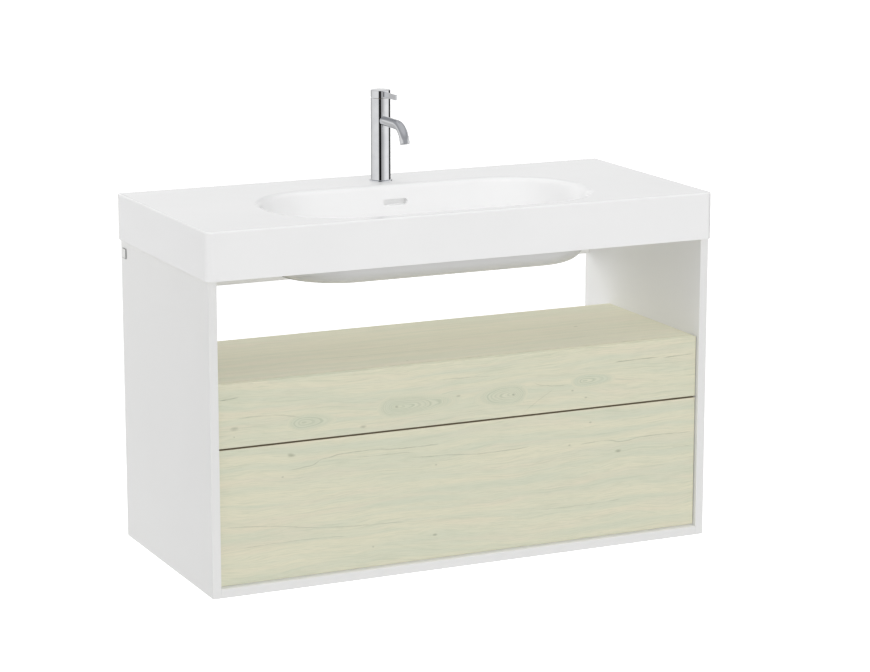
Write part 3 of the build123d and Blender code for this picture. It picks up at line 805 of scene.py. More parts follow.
CERAMIC = GlazedCeramic("white_glaze")
SIDE_BOARD = WhiteBoard("foiled_board")
RAIL_BOARD = WhiteBoard("foiled_rail_board", band_at=1.0, raw_from=1.0)
CHROME = Chrome("polished_chrome")
ZINC = ZincPlate("passivated_zinc")
RUNNER_STEEL = RolledSteel("rolled_steel")
HANGER_PLASTIC = MouldedPlastic("grey_moulding")
LATCH_PLASTIC = MouldedPlastic("latch_moulding", screen(150, 152, 156), screen(140, 142, 147))
WHITE_PLASTIC = MouldedPlastic("white_moulding", screen(232, 232, 230), screen(226, 226, 224), 0.3)
DARK_PLASTIC = MouldedPlastic("dark_moulding", screen(52, 53, 56), screen(46, 47, 50), 0.35)
CARTRIDGE_PLASTIC = MouldedPlastic(
    "cartridge_moulding", screen(206, 200, 182), screen(196, 190, 170)
)
SPRAY_PLASTIC = MouldedPlastic("spray_moulding", screen(178, 182, 186), screen(166, 170, 175), 0.35)
RUBBER = Rubber("moulded_rubber")
BRASS = Brass("lathe_brass")
DRAWER_BOARD = DrawerBoard("linen_board")
FOAM = SealFoam("bedding_foam")

UPPER_OAK = WashedOak(
    "washed_oak_upper",
    seed=3.0,
    swirls=(
        Swirl(-318, 301, 30, 62, 15, 4),
        Swirl(-140, 311, 34, 128, 20, 9),
        Swirl(96, 310, 80, 30, 21, 8),
        Swirl(242, 321, 26, 64, 13, 4),
    ),
    knots=(
        Knot(-448, 303, 4.5, 0.30, 2.0),
        Knot(-449, 288, 1.9, 0.45, 1.2),
        Knot(-203, 281, 3.4, 0.42, 2.2),
        Knot(-137, 311, 2.6, 0.40, 1.6),
        Knot(-14, 318, 2.4, 0.34, 2.2),
        Knot(97, 310, 2.6, 0.42, 1.4),
        Knot(218, 305, 2.0, 0.40, 1.8),
        Knot(246, 289, 2.0, 0.36, 1.8),
    ),
    veins=(
        Vein(((-477, 356), (-458, 357), (-437, 359)), 1.3, 0.75, 2.0),
        Vein(((301, 349), (346, 351), (403, 351)), 1.1, 0.7, 2.0),
        Vein(((406, 349), (442, 350), (477, 351)), 1.1, 0.7, 2.0),
        Vein(((-57, 353), (0, 351), (58, 349)), 0.9, 0.35),
        Vein(((-447, 320), (-395, 321), (-351, 317), (-318, 306)), 1.6, 0.25),
        Vein(((133, 330), (177, 318), (212, 317)), 1.2, 0.3),
        Vein(((113, 271), (150, 295), (181, 313)), 1.2, 0.25),
    ),
)
LOWER_OAK = WashedOak(
    "washed_oak_lower",
    seed=21.0,
    knots=(
        Knot(-343, 244, 4.6, 0.48, 2.2),
        Knot(316, 180, 4.2, 0.48, 2.0),
        Knot(-59, 195, 2.0, 0.40, 1.8),
        Knot(-358, 206, 2.0, 0.38, 1.8),
        Knot(256, 241, 2.0, 0.38, 1.8),
        Knot(213, 202, 1.8, 0.38, 1.8),
        Knot(-62, 64, 2.8, 0.44, 1.8),
        Knot(-184, 56, 1.8, 0.38, 1.8),
    ),
    veins=(
        Vein(
            ((-349, 217), (-307, 220), (-277, 231), (-202, 237), (-125, 233), (-45, 233)), 1.3, 0.42
        ),
        Vein(((-223, 226), (-160, 225), (-101, 224)), 1.1, 0.35),
        Vein(((-110, 214), (-11, 209), (32, 206), (134, 208)), 1.3, 0.4),
        Vein(((230, 197), (289, 203), (324, 197), (363, 202), (474, 200)), 1.3, 0.4),
        Vein(((428, 175), (450, 174), (474, 174)), 1.1, 0.4),
        Vein(((-470, 126), (-380, 118), (-280, 104), (-190, 98), (-120, 96)), 1.4, 0.32),
        Vein(((-440, 84), (-340, 86), (-230, 80)), 1.2, 0.28),
        Vein(((150, 88), (220, 84), (330, 86)), 1.2, 0.28),
    ),
)
SHELF_OAK = WashedOak(
    "washed_oak_shelf",
    lie=Lie.LEVEL,
    seed=44.0,
    cream=screen(221, 217, 195),
    green=screen(211, 212, 192),
    blush=screen(221, 214, 195),
    line=screen(193, 196, 174),
    knots=(Knot(-97, -403, 2.2, 0.45), Knot(317, -269, 3.0, 0.4)),
    veins=(
        Vein(((-241, -319), (-165, -329), (-58, -333), (50, -317)), 1.5, 0.35),
        Vein(((-348, -339), (-326, -332), (-306, -324)), 1.4, 0.3),
    ),
)


def dress(name: str, finish: Finish, arris: float = 0.0) -> bpy.types.Object:
    """Gives a CAD node its finish, and softens its sharp edges where that shows.

    Args:
        name: The node's name.
        finish: The finish it gets.
        arris: How far its edges are eased, in metres.

    Returns:
        The node's object.
    """
    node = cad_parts[name]
    node.data.materials.clear()
    node.data.materials.append(finish.material())
    if arris:
        weld = node.modifiers.new("weld", "WELD")
        weld.merge_threshold = 0.00001
        ease = node.modifiers.new("arris", "BEVEL")
        ease.width = arris
        ease.segments = 2
        ease.limit_method = "ANGLE"
        ease.angle_limit = math.radians(40)
        ease.use_clamp_overlap = True
    return node


def put(name: str, data: bpy.types.ID) -> bpy.types.Object:
    """Makes an object of a mesh, a light or a camera, and puts it in the scene."""
    made = bpy.data.objects.new(name, data)
    bpy.context.scene.collection.objects.link(made)
    return made


def stood(at: Vector, outwards: Vector) -> Matrix:
    """The move that stands an upright shape at a point, with its top facing outwards."""
    return Matrix.Translation(at) @ UPWARDS.rotation_difference(outwards).to_matrix().to_4x4()


def only(kind: type, parts: Sequence[object]) -> list:
    """Picks the vertices, edges or faces out of a mixed list."""
    return [part for part in parts if isinstance(part, kind)]


def edges_of(verts: Sequence[bmesh.types.BMVert]) -> list[bmesh.types.BMEdge]:
    """The edges that meet at some vertices, in a fixed order."""
    return list(dict.fromkeys(edge for vert in verts for edge in vert.link_edges))


def faces_of(verts: Sequence[bmesh.types.BMVert]) -> list[bmesh.types.BMFace]:
    """The faces that meet at some vertices, in a fixed order."""
    return list(dict.fromkeys(face for vert in verts for face in vert.link_faces))


class Workpiece:
    """A mesh in the making, shaped with bmesh operators, and the piece that it becomes."""

    def __init__(self, name: str) -> None:
        """Starts an empty mesh.

        Args:
            name: The piece's name.
        """
        self.name = name
        self.mesh = bmesh.new()

    def since(self, before: set[bmesh.types.BMVert]) -> list[bmesh.types.BMVert]:
        """The vertices that were added since a set of them was taken."""
        return [vert for vert in self.mesh.verts if vert not in before]

    def grow(
        self, edges: Sequence[bmesh.types.BMEdge]
    ) -> tuple[list[bmesh.types.BMVert], list[bmesh.types.BMEdge]]:
        """Extrudes edges, and returns the new vertices and edges."""
        geom = bmesh.ops.extrude_edge_only(self.mesh, edges=edges)["geom"]
        return (only(bmesh.types.BMVert, geom), only(bmesh.types.BMEdge, geom))

    def bevel(self, edges: Sequence[bmesh.types.BMEdge], width: float, steps: int = 2) -> None:
        """Rounds edges.

        Args:
            edges: The edges.
            width: How far the rounding reaches, in metres.
            steps: How many flats it has.
        """
        bmesh.ops.bevel(
            self.mesh,
            geom=list(edges),
            offset=width,
            offset_type="OFFSET",
            affect="EDGES",
            segments=steps,
            profile=0.5,
            clamp_overlap=True,
            material=-1,
        )

    def block(self, low: Point, high: Point, arris: float = 0.0, steps: int = 2) -> None:
        """Adds a block with eased edges.

        Args:
            low: Its lowest corner.
            high: Its highest corner.
            arris: How far its edges are eased.
            steps: How many flats the easing has.
        """
        size = Vector(high) - Vector(low)
        place = Matrix.Translation((Vector(low) + Vector(high)) / 2) @ Matrix.Diagonal((*size, 1.0))
        made = bmesh.ops.create_cube(self.mesh, size=1.0, matrix=place)
        if arris:
            self.bevel(edges_of(made["verts"]), arris, steps)

    def turn(
        self,
        profile: Sequence[tuple[float, float]],
        foot: Vector,
        steps: int = 64,
    ) -> list[bmesh.types.BMVert]:
        """Turns a profile on a lathe.

        Args:
            profile: The radii and heights that the profile goes through.
            foot: The point on the upright axis that the heights start from.
            steps: How many steps the turn has.

        Returns:
            The new vertices.
        """
        before = set(self.mesh.verts)
        verts = [self.mesh.verts.new((radius, 0.0, height)) for radius, height in profile]
        edges = [self.mesh.edges.new(pair) for pair in zip(verts, verts[1:])]
        bmesh.ops.spin(
            self.mesh,
            geom=verts + edges,
            cent=(0, 0, 0),
            axis=(0, 0, 1),
            angle=2 * math.pi,
            steps=steps,
            use_merge=True,
            use_duplicate=False,
        )
        bmesh.ops.remove_doubles(self.mesh, verts=self.since(before), dist=1e-6)
        edges = edges_of(self.since(before))
        bmesh.ops.dissolve_degenerate(self.mesh, dist=1e-7, edges=edges)
        made = self.since(before)
        bmesh.ops.transform(self.mesh, matrix=Matrix.Translation(foot), verts=made)
        return made

    def screw(self, seat: Vector, outwards: Vector, radius: float, turned: float) -> None:
        """Adds a screw's pan head with a cross recess.

        Args:
            seat: The point under the head's middle.
            outwards: The way the head stands out.
            radius: The head's radius.
            turned: How far the recess is turned, in radians.
        """
        before = set(self.mesh.verts)
        rise, crown, notch, arm = 0.42 * radius, 0.72, 0.24, 0.80
        rim = bmesh.ops.create_circle(self.mesh, cap_ends=False, radius=radius, segments=12)
        verts, edges = self.grow(edges_of(rim["verts"]))
        bmesh.ops.translate(self.mesh, verts=verts, vec=(0, 0, 0.6 * rise))
        verts, edges = self.grow(edges)
        bmesh.ops.scale(self.mesh, verts=verts, vec=(crown, crown, 1.0))
        bmesh.ops.translate(self.mesh, verts=verts, vec=(0, 0, 0.4 * rise))
        verts, edges = self.grow(edges)
        for vert in verts:
            step = round(math.atan2(vert.co.y, vert.co.x) / (math.pi / 6)) % 3
            vert.co.xy *= notch if step == 0 else arm
        verts, edges = self.grow(edges)
        bmesh.ops.scale(self.mesh, verts=verts, vec=(0.8, 0.8, 1.0))
        bmesh.ops.translate(self.mesh, verts=verts, vec=(0, 0, -0.75 * rise))
        bmesh.ops.edgeloop_fill(self.mesh, edges=edges)
        place = stood(seat, outwards) @ Matrix.Rotation(turned, 4, "Z")
        bmesh.ops.transform(self.mesh, matrix=place, verts=self.since(before))

    def copy_node(self, name: str) -> None:
        """Takes over a CAD node's triangles, merged into one skin."""
        self.mesh.from_mesh(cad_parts[name].data)
        bmesh.ops.remove_doubles(self.mesh, verts=self.mesh.verts, dist=2e-6)
        bmesh.ops.dissolve_degenerate(self.mesh, dist=1e-7, edges=self.mesh.edges)

    def finish(
        self,
        finish: Finish,
        body: str,
        slot: str,
        nodes: Sequence[str] = (),
        sharp: float = 32.0,
        outwards: bool = True,
    ) -> bpy.types.Object:
        """Makes the piece's object, dressed and riding on its body.

        Args:
            finish: The finish it gets.
            body: The body it rides on.
            slot: The record's material slot; it is not used.
            nodes: The CAD nodes that it stands for.
            sharp: The angle from which an edge stays sharp, in degrees.
            outwards: Whether the faces are turned outwards first.

        Returns:
            The piece's object.
        """
        if outwards:
            bmesh.ops.recalc_face_normals(self.mesh, faces=self.mesh.faces)
        for face in self.mesh.faces:
            face.smooth = True
            face.material_index = 0
        for edge in self.mesh.edges:
            edge.smooth = edge.is_manifold and edge.calc_face_angle(0.0) < math.radians(sharp)
        data = bpy.data.meshes.new(self.name)
        self.mesh.to_mesh(data)
        self.mesh.free()
        data.materials.append(finish.material())
        piece = put(self.name, data)
        even = piece.modifiers.new("even shading", "WEIGHTED_NORMAL")
        even.keep_sharp = True
        even.weight = 50
        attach(piece, body)
        if nodes:
            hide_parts(*nodes)
        log.info("made %s on %s", self.name, body)
        return piece


@dataclass
class Basin:
    """The ceramic basin."""

    name: str = "basin_glazed"

    def build(self) -> None:
        """Makes the basin's smooth skin from its casting, and dresses its bedding seal."""
        skin = Workpiece(self.name)
        skin.copy_node("basin")
        skin.finish(CERAMIC, "cabinet", "basin_ceramic", ["basin"], outwards=False)
        dress("basin_seal", FOAM)


@dataclass
class Cabinet:
    """The white boards, the shelf, the bay's back, the hangers, the latches and their fixings.

    Attributes:
        arris: How far the boards' edges are eased, in metres.
        plate_low: The lowest corner of the bare plate on the left panel.
        plate_high: Its highest corner.
    """

    arris: float = 0.0006
    plate_low: Point = (-0.4972, -0.0285, 0.5372)
    plate_high: Point = (-0.4960, -0.0105, 0.5560)

    def build(self) -> None:
        """Builds everything that is fixed to the wall."""
        for name in ("side_panel_left", "side_panel_right", "bottom_panel"):
            dress(name, SIDE_BOARD, self.arris)
        dress("top_rail", RAIL_BOARD, self.arris)
        dress("bay_back_panel", RAIL_BOARD)
        dress("shelf_panel", SHELF_OAK, self.arris)
        for hand in ("left", "right"):
            dress(f"hanger_{hand}", HANGER_PLASTIC, 0.0004)
            dress(f"hanger_hook_{hand}", ZINC, 0.0003)
            dress(f"wall_plate_{hand}", ZINC, 0.0002)
        dress("latch_housings", LATCH_PLASTIC, 0.0004)
        self.build_plate()
        self.build_fixings()

    def build_plate(self) -> None:
        """Makes the small bare plate and its dark rim."""
        rim = Workpiece("side_plate_rim")
        rim.block(self.plate_low, self.plate_high, 0.0002)
        rim.finish(DARK_PLASTIC, "cabinet", "hanger_plastic")
        face = Workpiece("side_plate_face")
        low, high = self.plate_low, self.plate_high
        face.block(
            (low[0] - 0.0003, low[1] + 0.0012, low[2] + 0.0008),
            (low[0] + 0.0002, high[1] - 0.0004, high[2] - 0.0008),
            0.0001,
        )
        face.finish(WHITE_PLASTIC, "cabinet", "hanger_plastic")

    def build_fixings(self) -> None:
        """Makes the adjusting screws of the hangers and the screws of the wall plates."""
        turns = random.Random(11)
        screws = Workpiece("cabinet_screws")
        for side in (-1.0, 1.0):
            for height in (0.532, 0.550):
                seat = Vector((side * 0.471, -0.0660, height))
                screws.screw(seat, ROOM_SIDE, ADJUSTER_HEAD, turns.random())
            for place in (0.434, 0.466):
                seat = Vector((side * place, -0.0025, 0.5244))
                screws.screw(seat, ROOM_SIDE, PLATE_HEAD, turns.random())
        screws.finish(ZINC, "cabinet", "zinc_steel")


@dataclass
class Drawer:
    """One drawer: its oak front, its box, its brackets, its runners and its latch plungers.

    Attributes:
        level: The drawer's name in the frame, upper or lower.
        oak: The front's decor.
        bracket_foot: The height of its brackets' lower ends, in metres.
    """

    level: str
    oak: WashedOak
    bracket_foot: float

    def build(self) -> None:
        """Dresses the drawer and adds its fixings."""
        dress(f"{self.level}_front", self.oak)
        for part in ("bottom", "back", "side_left", "side_right"):
            dress(f"{self.level}_drawer_{part}", DRAWER_BOARD, 0.0004)
        dress(f"{self.level}_front_brackets", ZINC, 0.0003)
        dress(f"{self.level}_plungers", WHITE_PLASTIC)
        for hand in ("left", "right"):
            for member in ("cabinet", "middle", "drawer"):
                dress(f"{self.level}_runner_{member}_{hand}", RUNNER_STEEL)
        self.build_screws()

    def build_screws(self) -> None:
        """Makes the screws that hold both brackets to the front and to the box's sides."""
        turns = random.Random(self.level)
        screws = Workpiece(f"{self.level}_drawer_screws")
        for side in (-1.0, 1.0):
            inwards = Vector((-side, 0.0, 0.0))
            for lift in (0.010, 0.026, 0.042):
                height = self.bracket_foot + lift
                on_front = Vector((side * 0.4420, -0.4270, height))
                on_side = Vector((side * 0.4530, -0.4160, height))
                for seat, outwards in ((on_front, WALL_SIDE), (on_side, inwards)):
                    screws.screw(seat, outwards, BRACKET_HEAD, turns.random())
        screws.finish(ZINC, f"{self.level}_drawer", "zinc_steel")


@dataclass
class Tap:
    """The single-lever tap.

    Attributes:
        centre: Where its axis stands, along the depth, in metres.
        radius: The body's radius.
        base: The height of the body's foot.
        body_top: The height of the body's top.
        cap_base: The height of the cap's underside.
        top: The height of the cap's top.
        spout_level: The height of the spout's axis.
        spout_radius: The spout's radius.
        spout_run: How far the spout's axis goes straight on from the body's axis.
        spout_bend: The radius of its bend.
        spout_turn: How far it bends down, in degrees.
        outlet_reach: How far the outlet's middle stands from the body's axis.
        outlet_drop: How far it lies under the spout's axis.
        cap_lean: The slope of the cap's underside at the back, in degrees.
    """

    centre: float = -0.072
    radius: float = 0.0185
    base: float = 0.6595
    body_top: float = 0.815
    cap_base: float = 0.8155
    top: float = 0.830
    spout_level: float = 0.773
    spout_radius: float = 0.009
    spout_run: float = 0.074
    spout_bend: float = 0.036
    spout_turn: float = 74.0
    outlet_reach: float = 0.11026
    outlet_drop: float = 0.03183
    cap_lean: float = 15.7

    def build(self) -> None:
        """Builds the tap from its base ring to its lever."""
        self.build_ring()
        self.build_body()
        self.build_spout()
        self.build_cap()
        self.build_lever()
        dress("tap_aerator", SPRAY_PLASTIC)
        dress("tap_cartridge", CARTRIDGE_PLASTIC)
        dress("tap_cartridge_nut", BRASS)
        dress("tap_cartridge_collar", CARTRIDGE_PLASTIC)
        dress("tap_stem", BRASS)
        dress("tap_gasket", RUBBER)
        dress("tap_horseshoe", ZINC)
        dress("tap_nut", BRASS, 0.0003)
        self.build_stud()
        self.build_spray_grid()

    def foot(self, height: float) -> Vector:
        """The point on the tap's axis at a height."""
        return Vector((0.0, self.centre, height))

    def build_stud(self) -> None:
        """Makes the fixing stud with its thread, as close rings."""
        stud = Workpiece("tap_threaded_stud")
        length, pitch = 0.073, 0.00125
        profile = [(0.0, 0.0), (0.0032, 0.0)]
        for turn in range(int(length / pitch)):
            foot = turn * pitch
            profile += [(0.00345, foot + 0.0003), (0.0040, foot + 0.0007), (0.0040, foot + 0.0009)]
        profile += [(0.0032, length), (0.0, length)]
        stud.turn(profile, Vector((0.0, self.centre + 0.008, 0.6025)), steps=32)
        stud.finish(BRASS, "cabinet", "tap_brass", ["tap_stud"], sharp=50.0)

    def build_spray_grid(self) -> None:
        """Makes the rings and spokes inside the outlet, just under the aerator's screen."""
        grid = Workpiece("tap_spray_grid")
        wall, height, spoke, sunk = 0.00014, 0.0008, 0.0043, 0.0012
        for radius in (0.0014, 0.0028, 0.0042):
            inner, outer = radius - wall, radius + wall
            ring = [(inner, 0.0), (outer, 0.0), (outer, height), (inner, height), (inner, 0.0)]
            grid.turn(ring, Vector((0.0, 0.0, 0.0)), steps=32)
        for part in range(3):
            before = set(grid.mesh.verts)
            grid.block((-spoke, -0.00013, 0.0001), (spoke, 0.00013, 0.0007))
            turned = Matrix.Rotation(part * math.pi / 3, 3, "Z")
            bmesh.ops.rotate(grid.mesh, verts=grid.since(before), matrix=turned)
        lean = math.radians(self.spout_turn)
        inwards = Vector((0.0, math.cos(lean), math.sin(lean)))
        outlet = Vector((0.0, self.centre - self.outlet_reach, self.spout_level - self.outlet_drop))
        place = stood(outlet + sunk * inwards, inwards)
        bmesh.ops.transform(grid.mesh, matrix=place, verts=grid.mesh.verts)
        grid.finish(DARK_PLASTIC, "cabinet", "aerator_plastic")

    def build_ring(self) -> None:
        """Makes the ring under the body."""
        ring = Workpiece("tap_ring")
        inner, outer, tall = 0.0170, 0.0215, 0.0025
        profile = [(inner, 0.0), (outer, 0.0), (outer, 0.0014), (0.02125, 0.0020), (0.0206, 0.0024)]
        profile += [(0.0198, tall), (inner, tall), (inner, 0.0)]
        ring.turn(profile, self.foot(0.657))
        ring.finish(CHROME, "cabinet", "tap_chrome", ["tap_base_ring"])

    def build_body(self) -> None:
        """Makes the straight body, bored at its top for the cartridge."""
        body = Workpiece("tap_column")
        tall = self.body_top - self.base
        ease, nut, cartridge = 0.0003, 0.0160, 0.01305
        profile = [(0.0, 0.0), (self.radius - ease, 0.0), (self.radius, ease)]
        profile += [(self.radius, tall - ease), (self.radius - ease, tall)]
        profile += [(nut, tall), (nut, tall - 0.010), (cartridge, tall - 0.010)]
        profile += [(cartridge, tall - 0.032), (0.0, tall - 0.032)]
        body.turn(profile, self.foot(self.base))
        body.finish(CHROME, "cabinet", "tap_chrome", ["tap_body"])

    def build_spout(self) -> None:
        """Makes the spout as one swept tube, with a rolled rim at its outlet."""
        spout = Workpiece("tap_spout_tube")
        bm = spout.mesh
        ring = bmesh.ops.create_circle(bm, cap_ends=False, radius=self.spout_radius, segments=48)
        root, lean = 0.012, math.radians(self.spout_turn)
        start = Matrix.Translation((0, self.centre - root, self.spout_level))
        start = start @ Matrix.Rotation(math.radians(90), 4, "X")
        bmesh.ops.transform(bm, matrix=start, verts=ring["verts"])
        verts, edges = spout.grow(edges_of(ring["verts"]))
        bmesh.ops.translate(bm, verts=verts, vec=(0, root - self.spout_run, 0))
        swept = bmesh.ops.spin(
            bm,
            geom=verts + edges,
            cent=(0, self.centre - self.spout_run, self.spout_level - self.spout_bend),
            axis=(1, 0, 0),
            angle=lean,
            steps=28,
            use_duplicate=False,
        )["geom_last"]
        outwards = Vector((0, -math.cos(lean), -math.sin(lean)))
        edges = only(bmesh.types.BMEdge, swept)
        rim = ((1.0, 0.0056), (0.955, 0.0004), (0.82, -0.0001), (0.79, -0.0004), (1.0, -0.010))
        for scale, step in rim:
            verts, edges = spout.grow(edges)
            middle = sum((vert.co for vert in verts), Vector()) / len(verts)
            radius = (verts[0].co - middle).length
            factor = 1.0 if scale == 1.0 else scale * self.spout_radius / radius
            for vert in verts:
                vert.co = middle + (vert.co - middle) * factor + outwards * step
        spout.finish(CHROME, "cabinet", "tap_chrome", ["tap_spout"])

    def build_cap(self) -> None:
        """Makes the cap over the cartridge, relieved at the back for its lift."""
        cap = Workpiece("tap_cap_shell")
        tall = self.top - self.cap_base
        ease, arris = 0.0002, 0.0006
        profile = [(0.0, 0.0), (self.radius - ease, 0.0), (self.radius, ease)]
        profile += [(self.radius, tall - arris), (self.radius - ease, tall - ease)]
        profile += [(self.radius - arris, tall), (0.0, tall)]
        made = cap.turn(profile, self.foot(self.cap_base))
        lean = math.radians(self.cap_lean)
        bmesh.ops.bisect_plane(
            cap.mesh,
            geom=[*made, *edges_of(made), *faces_of(made)],
            plane_co=self.foot(self.cap_base),
            plane_no=(0, math.sin(lean), -math.cos(lean)),
            clear_outer=False,
        )
        for vert in cap.mesh.verts:
            behind = vert.co.y - self.centre
            limit = self.cap_base + behind * math.tan(lean)
            if behind > 1e-6 and vert.co.z < limit:
                vert.co.z = limit
        cap.finish(CHROME, "tap_handle", "tap_chrome", ["tap_cap"], sharp=25.0)

    def build_lever(self) -> None:
        """Makes the flat lever bar."""
        lever = Workpiece("tap_lever_bar")
        lever.block(
            (-0.002, self.centre - 0.0716, self.top - 0.012),
            (0.002, self.centre - self.radius + 0.0045, self.top - 0.002),
            0.0006,
            3,
        )
        lever.finish(CHROME, "tap_handle", "tap_chrome", ["tap_lever"])


# The greys that the tap mirrors below and above the horizon, each after its angle from the camera
LOW_GREYS = (
    (-180, 45), (-168, 60), (-156, 150), (-142, 190), (-128, 204), (-112, 230), (-60, 240),
    (-25, 238), (-16, 40), (-11, 12), (5, 12), (10, 140), (14, 186), (28, 180), (38, 214),
    (58, 248), (76, 254), (106, 250), (120, 90), (130, 45), (180, 45),
)  # fmt: skip
HIGH_GREYS = (
    (-180, 232), (-60, 234), (-25, 232), (-16, 40), (-11, 12), (5, 12), (10, 150), (30, 250),
    (110, 250), (150, 232), (180, 232),
)  # fmt: skip
WHITE: Colour = (1.0, 1.0, 1.0, 1.0)


@dataclass
class Studio:
    """The room the unit is shown in: a pale floor, soft lamps, and the camera.

    Attributes:
        floor_height: The floor's height, in metres.
        camera_at: Where the camera stands.
        camera_turn: The camera's turn about each axis, in degrees.
        lens: The lens, in millimetres.
        tap_at: Where the tap's axis stands, along the depth.
        tap_radius: The radius of the tap's body.
        card_height: The height of the reflection card, just over the deck.
        card_rings: How many rings of corners the card has.
        card_growth: How much larger each ring is than the one inside it.
        card_parts: How many parts each ring is divided into.
    """

    floor_height: float = -0.85
    camera_at: Point = (-2.2374, -5.0878, 1.5444)
    camera_turn: Point = (77.776, 0.0, -25.113)
    lens: float = 121.146
    tap_at: float = -0.072
    tap_radius: float = 0.0185
    card_height: float = 0.6573
    card_rings: int = 29
    card_growth: float = 1.145
    card_parts: int = 180

    def build(self) -> None:
        """Sets up the camera, the floor, the lamps and the world."""
        self.place_camera()
        self.lay_floor()
        self.hang_lamp("lamp_above", (0.3, -0.8, 3.2), (0.0, -0.2, 0.4), 3.0, 6.6)
        self.hang_lamp("lamp_front", (0.9, -4.2, 1.9), (0.0, -0.2, 0.3), 2.6, 19.0)
        self.hang_lamp("lamp_left", (-4.0, -1.2, 1.4), (0.0, -0.2, 0.3), 2.4, 11.0)
        self.hang_lamp("lamp_rear", (-1.2, 3.2, 1.2), (0.0, -0.2, 0.35), 2.4, 76.0)
        self.hang_fill("lamp_fill", (-0.25, -0.53, 0.85), 1.36)
        self.lay_card()
        self.light_world()

    def place_camera(self) -> None:
        """Places the camera at the photograph's viewing angle."""
        data = bpy.data.cameras.new("camera")
        data.sensor_fit = "HORIZONTAL"
        data.sensor_width = 36.0
        data.lens = self.lens
        data.dof.use_dof = False
        camera = put("camera", data)
        camera.location = self.camera_at
        camera.rotation_euler = [math.radians(angle) for angle in self.camera_turn]
        bpy.context.scene.camera = camera

    def lay_floor(self) -> None:
        """Lays a plain pale floor that reads as white and keeps the unit's shadow."""
        bm = bmesh.new()
        bmesh.ops.create_grid(bm, x_segments=8, y_segments=8, size=20.0)
        bmesh.ops.translate(bm, verts=bm.verts, vec=(0, 0, self.floor_height))
        material, tree = self.plain_material("pale_floor")
        rays = tree.nodes.new("ShaderNodeLightPath")
        matte = tree.nodes.new("ShaderNodeBsdfDiffuse")
        matte.inputs["Color"].default_value = (0.82, 0.82, 0.82, 1.0)
        lifted = tree.nodes.new("ShaderNodeAddShader")
        tree.feed(lifted.inputs[0], matte.outputs[0])
        tree.feed(lifted.inputs[1], tree.light("ShaderNodeEmission", WHITE, 0.55))
        seen = tree.choose(rays.outputs["Is Camera Ray"], matte.outputs[0], lifted.outputs[0])
        tree.show("ShaderNodeOutputMaterial", seen)
        self.place_sheet("floor", bm, material).visible_glossy = False

    def plain_material(self, name: str) -> tuple[bpy.types.Material, NodeWork]:
        """Makes a material without nodes for a piece of the studio, and its tree."""
        material = bpy.data.materials.new(name)
        material.use_nodes = True
        material.node_tree.nodes.clear()
        return (material, NodeWork(material.node_tree))

    def place_sheet(
        self, name: str, bm: bmesh.types.BMesh, material: bpy.types.Material
    ) -> bpy.types.Object:
        """Makes a finished mesh into a piece of the studio.

        Args:
            name: The piece's name.
            bm: Its mesh, which is used up.
            material: Its material.

        Returns:
            The piece's object.
        """
        data = bpy.data.meshes.new(name)
        bm.to_mesh(data)
        bm.free()
        data.materials.append(material)
        sheet = put(name, data)
        return sheet

    def hang_lamp(self, name: str, at: Point, towards: Point, size: float, power: float) -> None:
        """Hangs one soft square lamp.

        Args:
            name: The lamp's name.
            at: Where it hangs.
            towards: The point it faces.
            size: Its side, in metres.
            power: Its power, in watts.
        """
        data = bpy.data.lights.new(name, "AREA")
        data.shape = "SQUARE"
        data.size = size
        data.energy = power
        lamp = put(name, data)
        lamp.location = at
        aim = Vector(towards) - Vector(at)
        lamp.rotation_euler = aim.to_track_quat("-Z", "Y").to_euler()
        lamp.visible_glossy = False

    def hang_fill(self, name: str, towards: Point, strength: float) -> None:
        """Hangs a wide fill light that casts no shadow and so reaches under the basin.

        Args:
            name: The light's name.
            towards: The way from the unit to the light.
            strength: Its strength.
        """
        data = bpy.data.lights.new(name, "SUN")
        data.energy = strength
        data.angle = math.radians(40)
        data.use_shadow = False
        lamp = put(name, data)
        lamp.rotation_euler = (-Vector(towards)).to_track_quat("-Z", "Y").to_euler()
        lamp.visible_glossy = False

    def lay_card(self) -> None:
        """Lays a card over the deck that only mirrors see, so that the tap shows the room there.

        The tap's upright sides throw each ray on at one angle, so every place on the card has one
        direction that the tap shows in it, and the card is painted with the room's grey for that.
        """
        bm = bmesh.new()
        turn = bm.verts.layers.float.new("turn")
        heading = math.radians(self.camera_turn[2])
        ahead = Vector((math.sin(heading), -math.cos(heading), 0.0))
        aside = Vector((math.cos(heading), math.sin(heading), 0.0))
        middle = Vector((0.0, self.tap_at, self.card_height))
        rings = []
        for step in range(self.card_rings):
            radius = self.tap_radius * 1.04 * self.card_growth**step
            ring = []
            for part in range(self.card_parts + 1):
                place = math.radians(360 * part / self.card_parts - 180)
                shown = place
                for _ in range(12):
                    shown = place + math.asin(self.tap_radius / radius * math.sin(shown / 2))
                spot = middle + radius * (math.cos(place) * ahead + math.sin(place) * aside)
                vert = bm.verts.new(spot)
                vert[turn] = max(0.0, min(1.0, shown / (2 * math.pi) + 0.5))
                ring.append(vert)
            rings.append(ring)
        for inner, outer in zip(rings, rings[1:]):
            for a, b, c, d in zip(inner, outer, outer[1:], inner[1:]):
                bm.faces.new((a, b, c, d))
        bm.normal_update()
        if sum(face.normal.z for face in bm.faces) < 0:
            bmesh.ops.reverse_faces(bm, faces=bm.faces)
        material, tree = self.plain_material("reflection_greys")
        read = tree.nodes.new("ShaderNodeAttribute")
        read.attribute_name = "turn"
        grey = tree.light("ShaderNodeEmission", tree.greys(read.outputs["Fac"], LOW_GREYS))
        clear = tree.nodes.new("ShaderNodeBsdfTransparent").outputs[0]
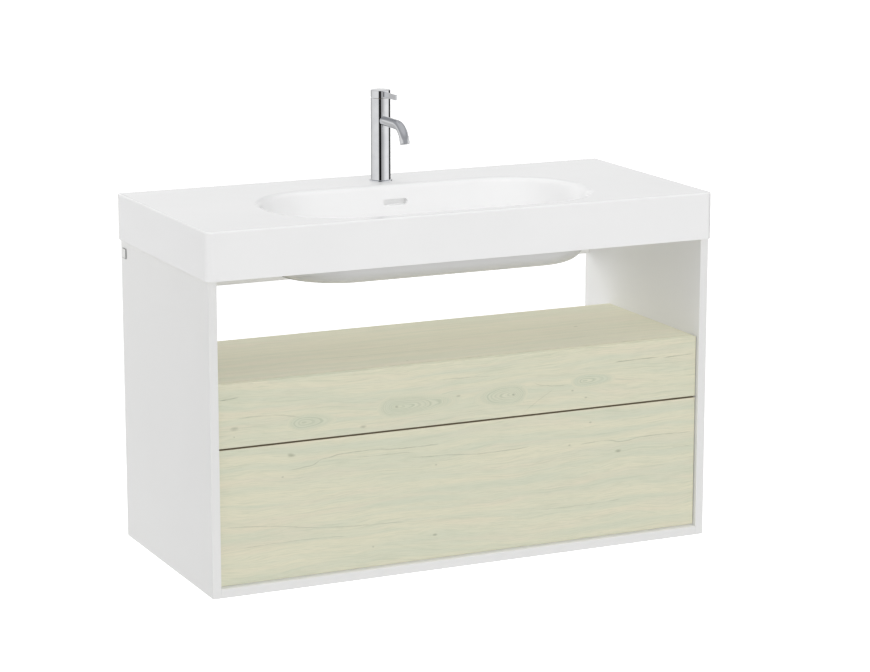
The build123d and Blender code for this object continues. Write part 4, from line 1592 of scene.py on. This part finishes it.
        below = tree.nodes.new("ShaderNodeNewGeometry").outputs["Backfacing"]
        tree.show("ShaderNodeOutputMaterial", tree.choose(below, grey, clear))
        card = self.place_sheet("reflection_card", bm, material)
        card.visible_camera = False
        card.visible_diffuse = False
        card.visible_transmission = False
        card.visible_volume_scatter = False
        card.visible_shadow = False

    def light_world(self) -> None:
        """Lights the room: white behind, soft all round, and a few dark flags for bright metal."""
        world = bpy.data.worlds.new("studio")
        bpy.context.scene.world = world
        world.use_nodes = True
        world.node_tree.nodes.clear()
        tree = NodeWork(world.node_tree)
        around = tree.nodes.new("ShaderNodeTexCoord").outputs["Generated"]
        east, north, height = tree.split(around)
        heading = math.radians(self.camera_turn[2])
        away = (-math.sin(heading), math.cos(heading))
        ahead = tree.add(tree.times(east, -away[0]), tree.times(north, -away[1]))
        aside = tree.add(tree.times(east, away[1]), tree.times(north, -away[0]))
        turned = tree.calc("ARCTAN2", aside, ahead)
        share = tree.add(tree.calc("DIVIDE", turned, 2 * math.pi), 0.5)
        low, high = tree.greys(share, LOW_GREYS), tree.greys(share, HIGH_GREYS)
        level = tree.mix(tree.band(height, -0.03, 0.03), low, high)
        raised = tree.mix(tree.band(height, 0.16, 0.34), level, screen(168, 169, 172))
        seen = tree.mix(tree.band(height, 0.55, 0.85), raised, screen(196, 197, 200))
        rays = tree.nodes.new("ShaderNodeLightPath").outputs
        background = "ShaderNodeBackground"
        metal, soft = tree.light(background, seen), tree.light(background, WHITE, 0.445)
        unseen = tree.choose(rays["Is Glossy Ray"], soft, metal)
        shown = tree.choose(rays["Is Camera Ray"], unseen, tree.light(background, WHITE))
        tree.show("ShaderNodeOutputWorld", shown)


def main() -> None:
    """Builds the unit and its studio, in order."""
    logging.basicConfig(level=logging.INFO, format="%(message)s")
    bpy.context.scene.view_settings.view_transform = "Standard"
    Studio().build()
    Basin().build()
    Cabinet().build()
    Drawer("upper", UPPER_OAK, 0.3070).build()
    Drawer("lower", LOWER_OAK, 0.0575).build()
    Tap().build()


if __name__ == "__main__":
    main()
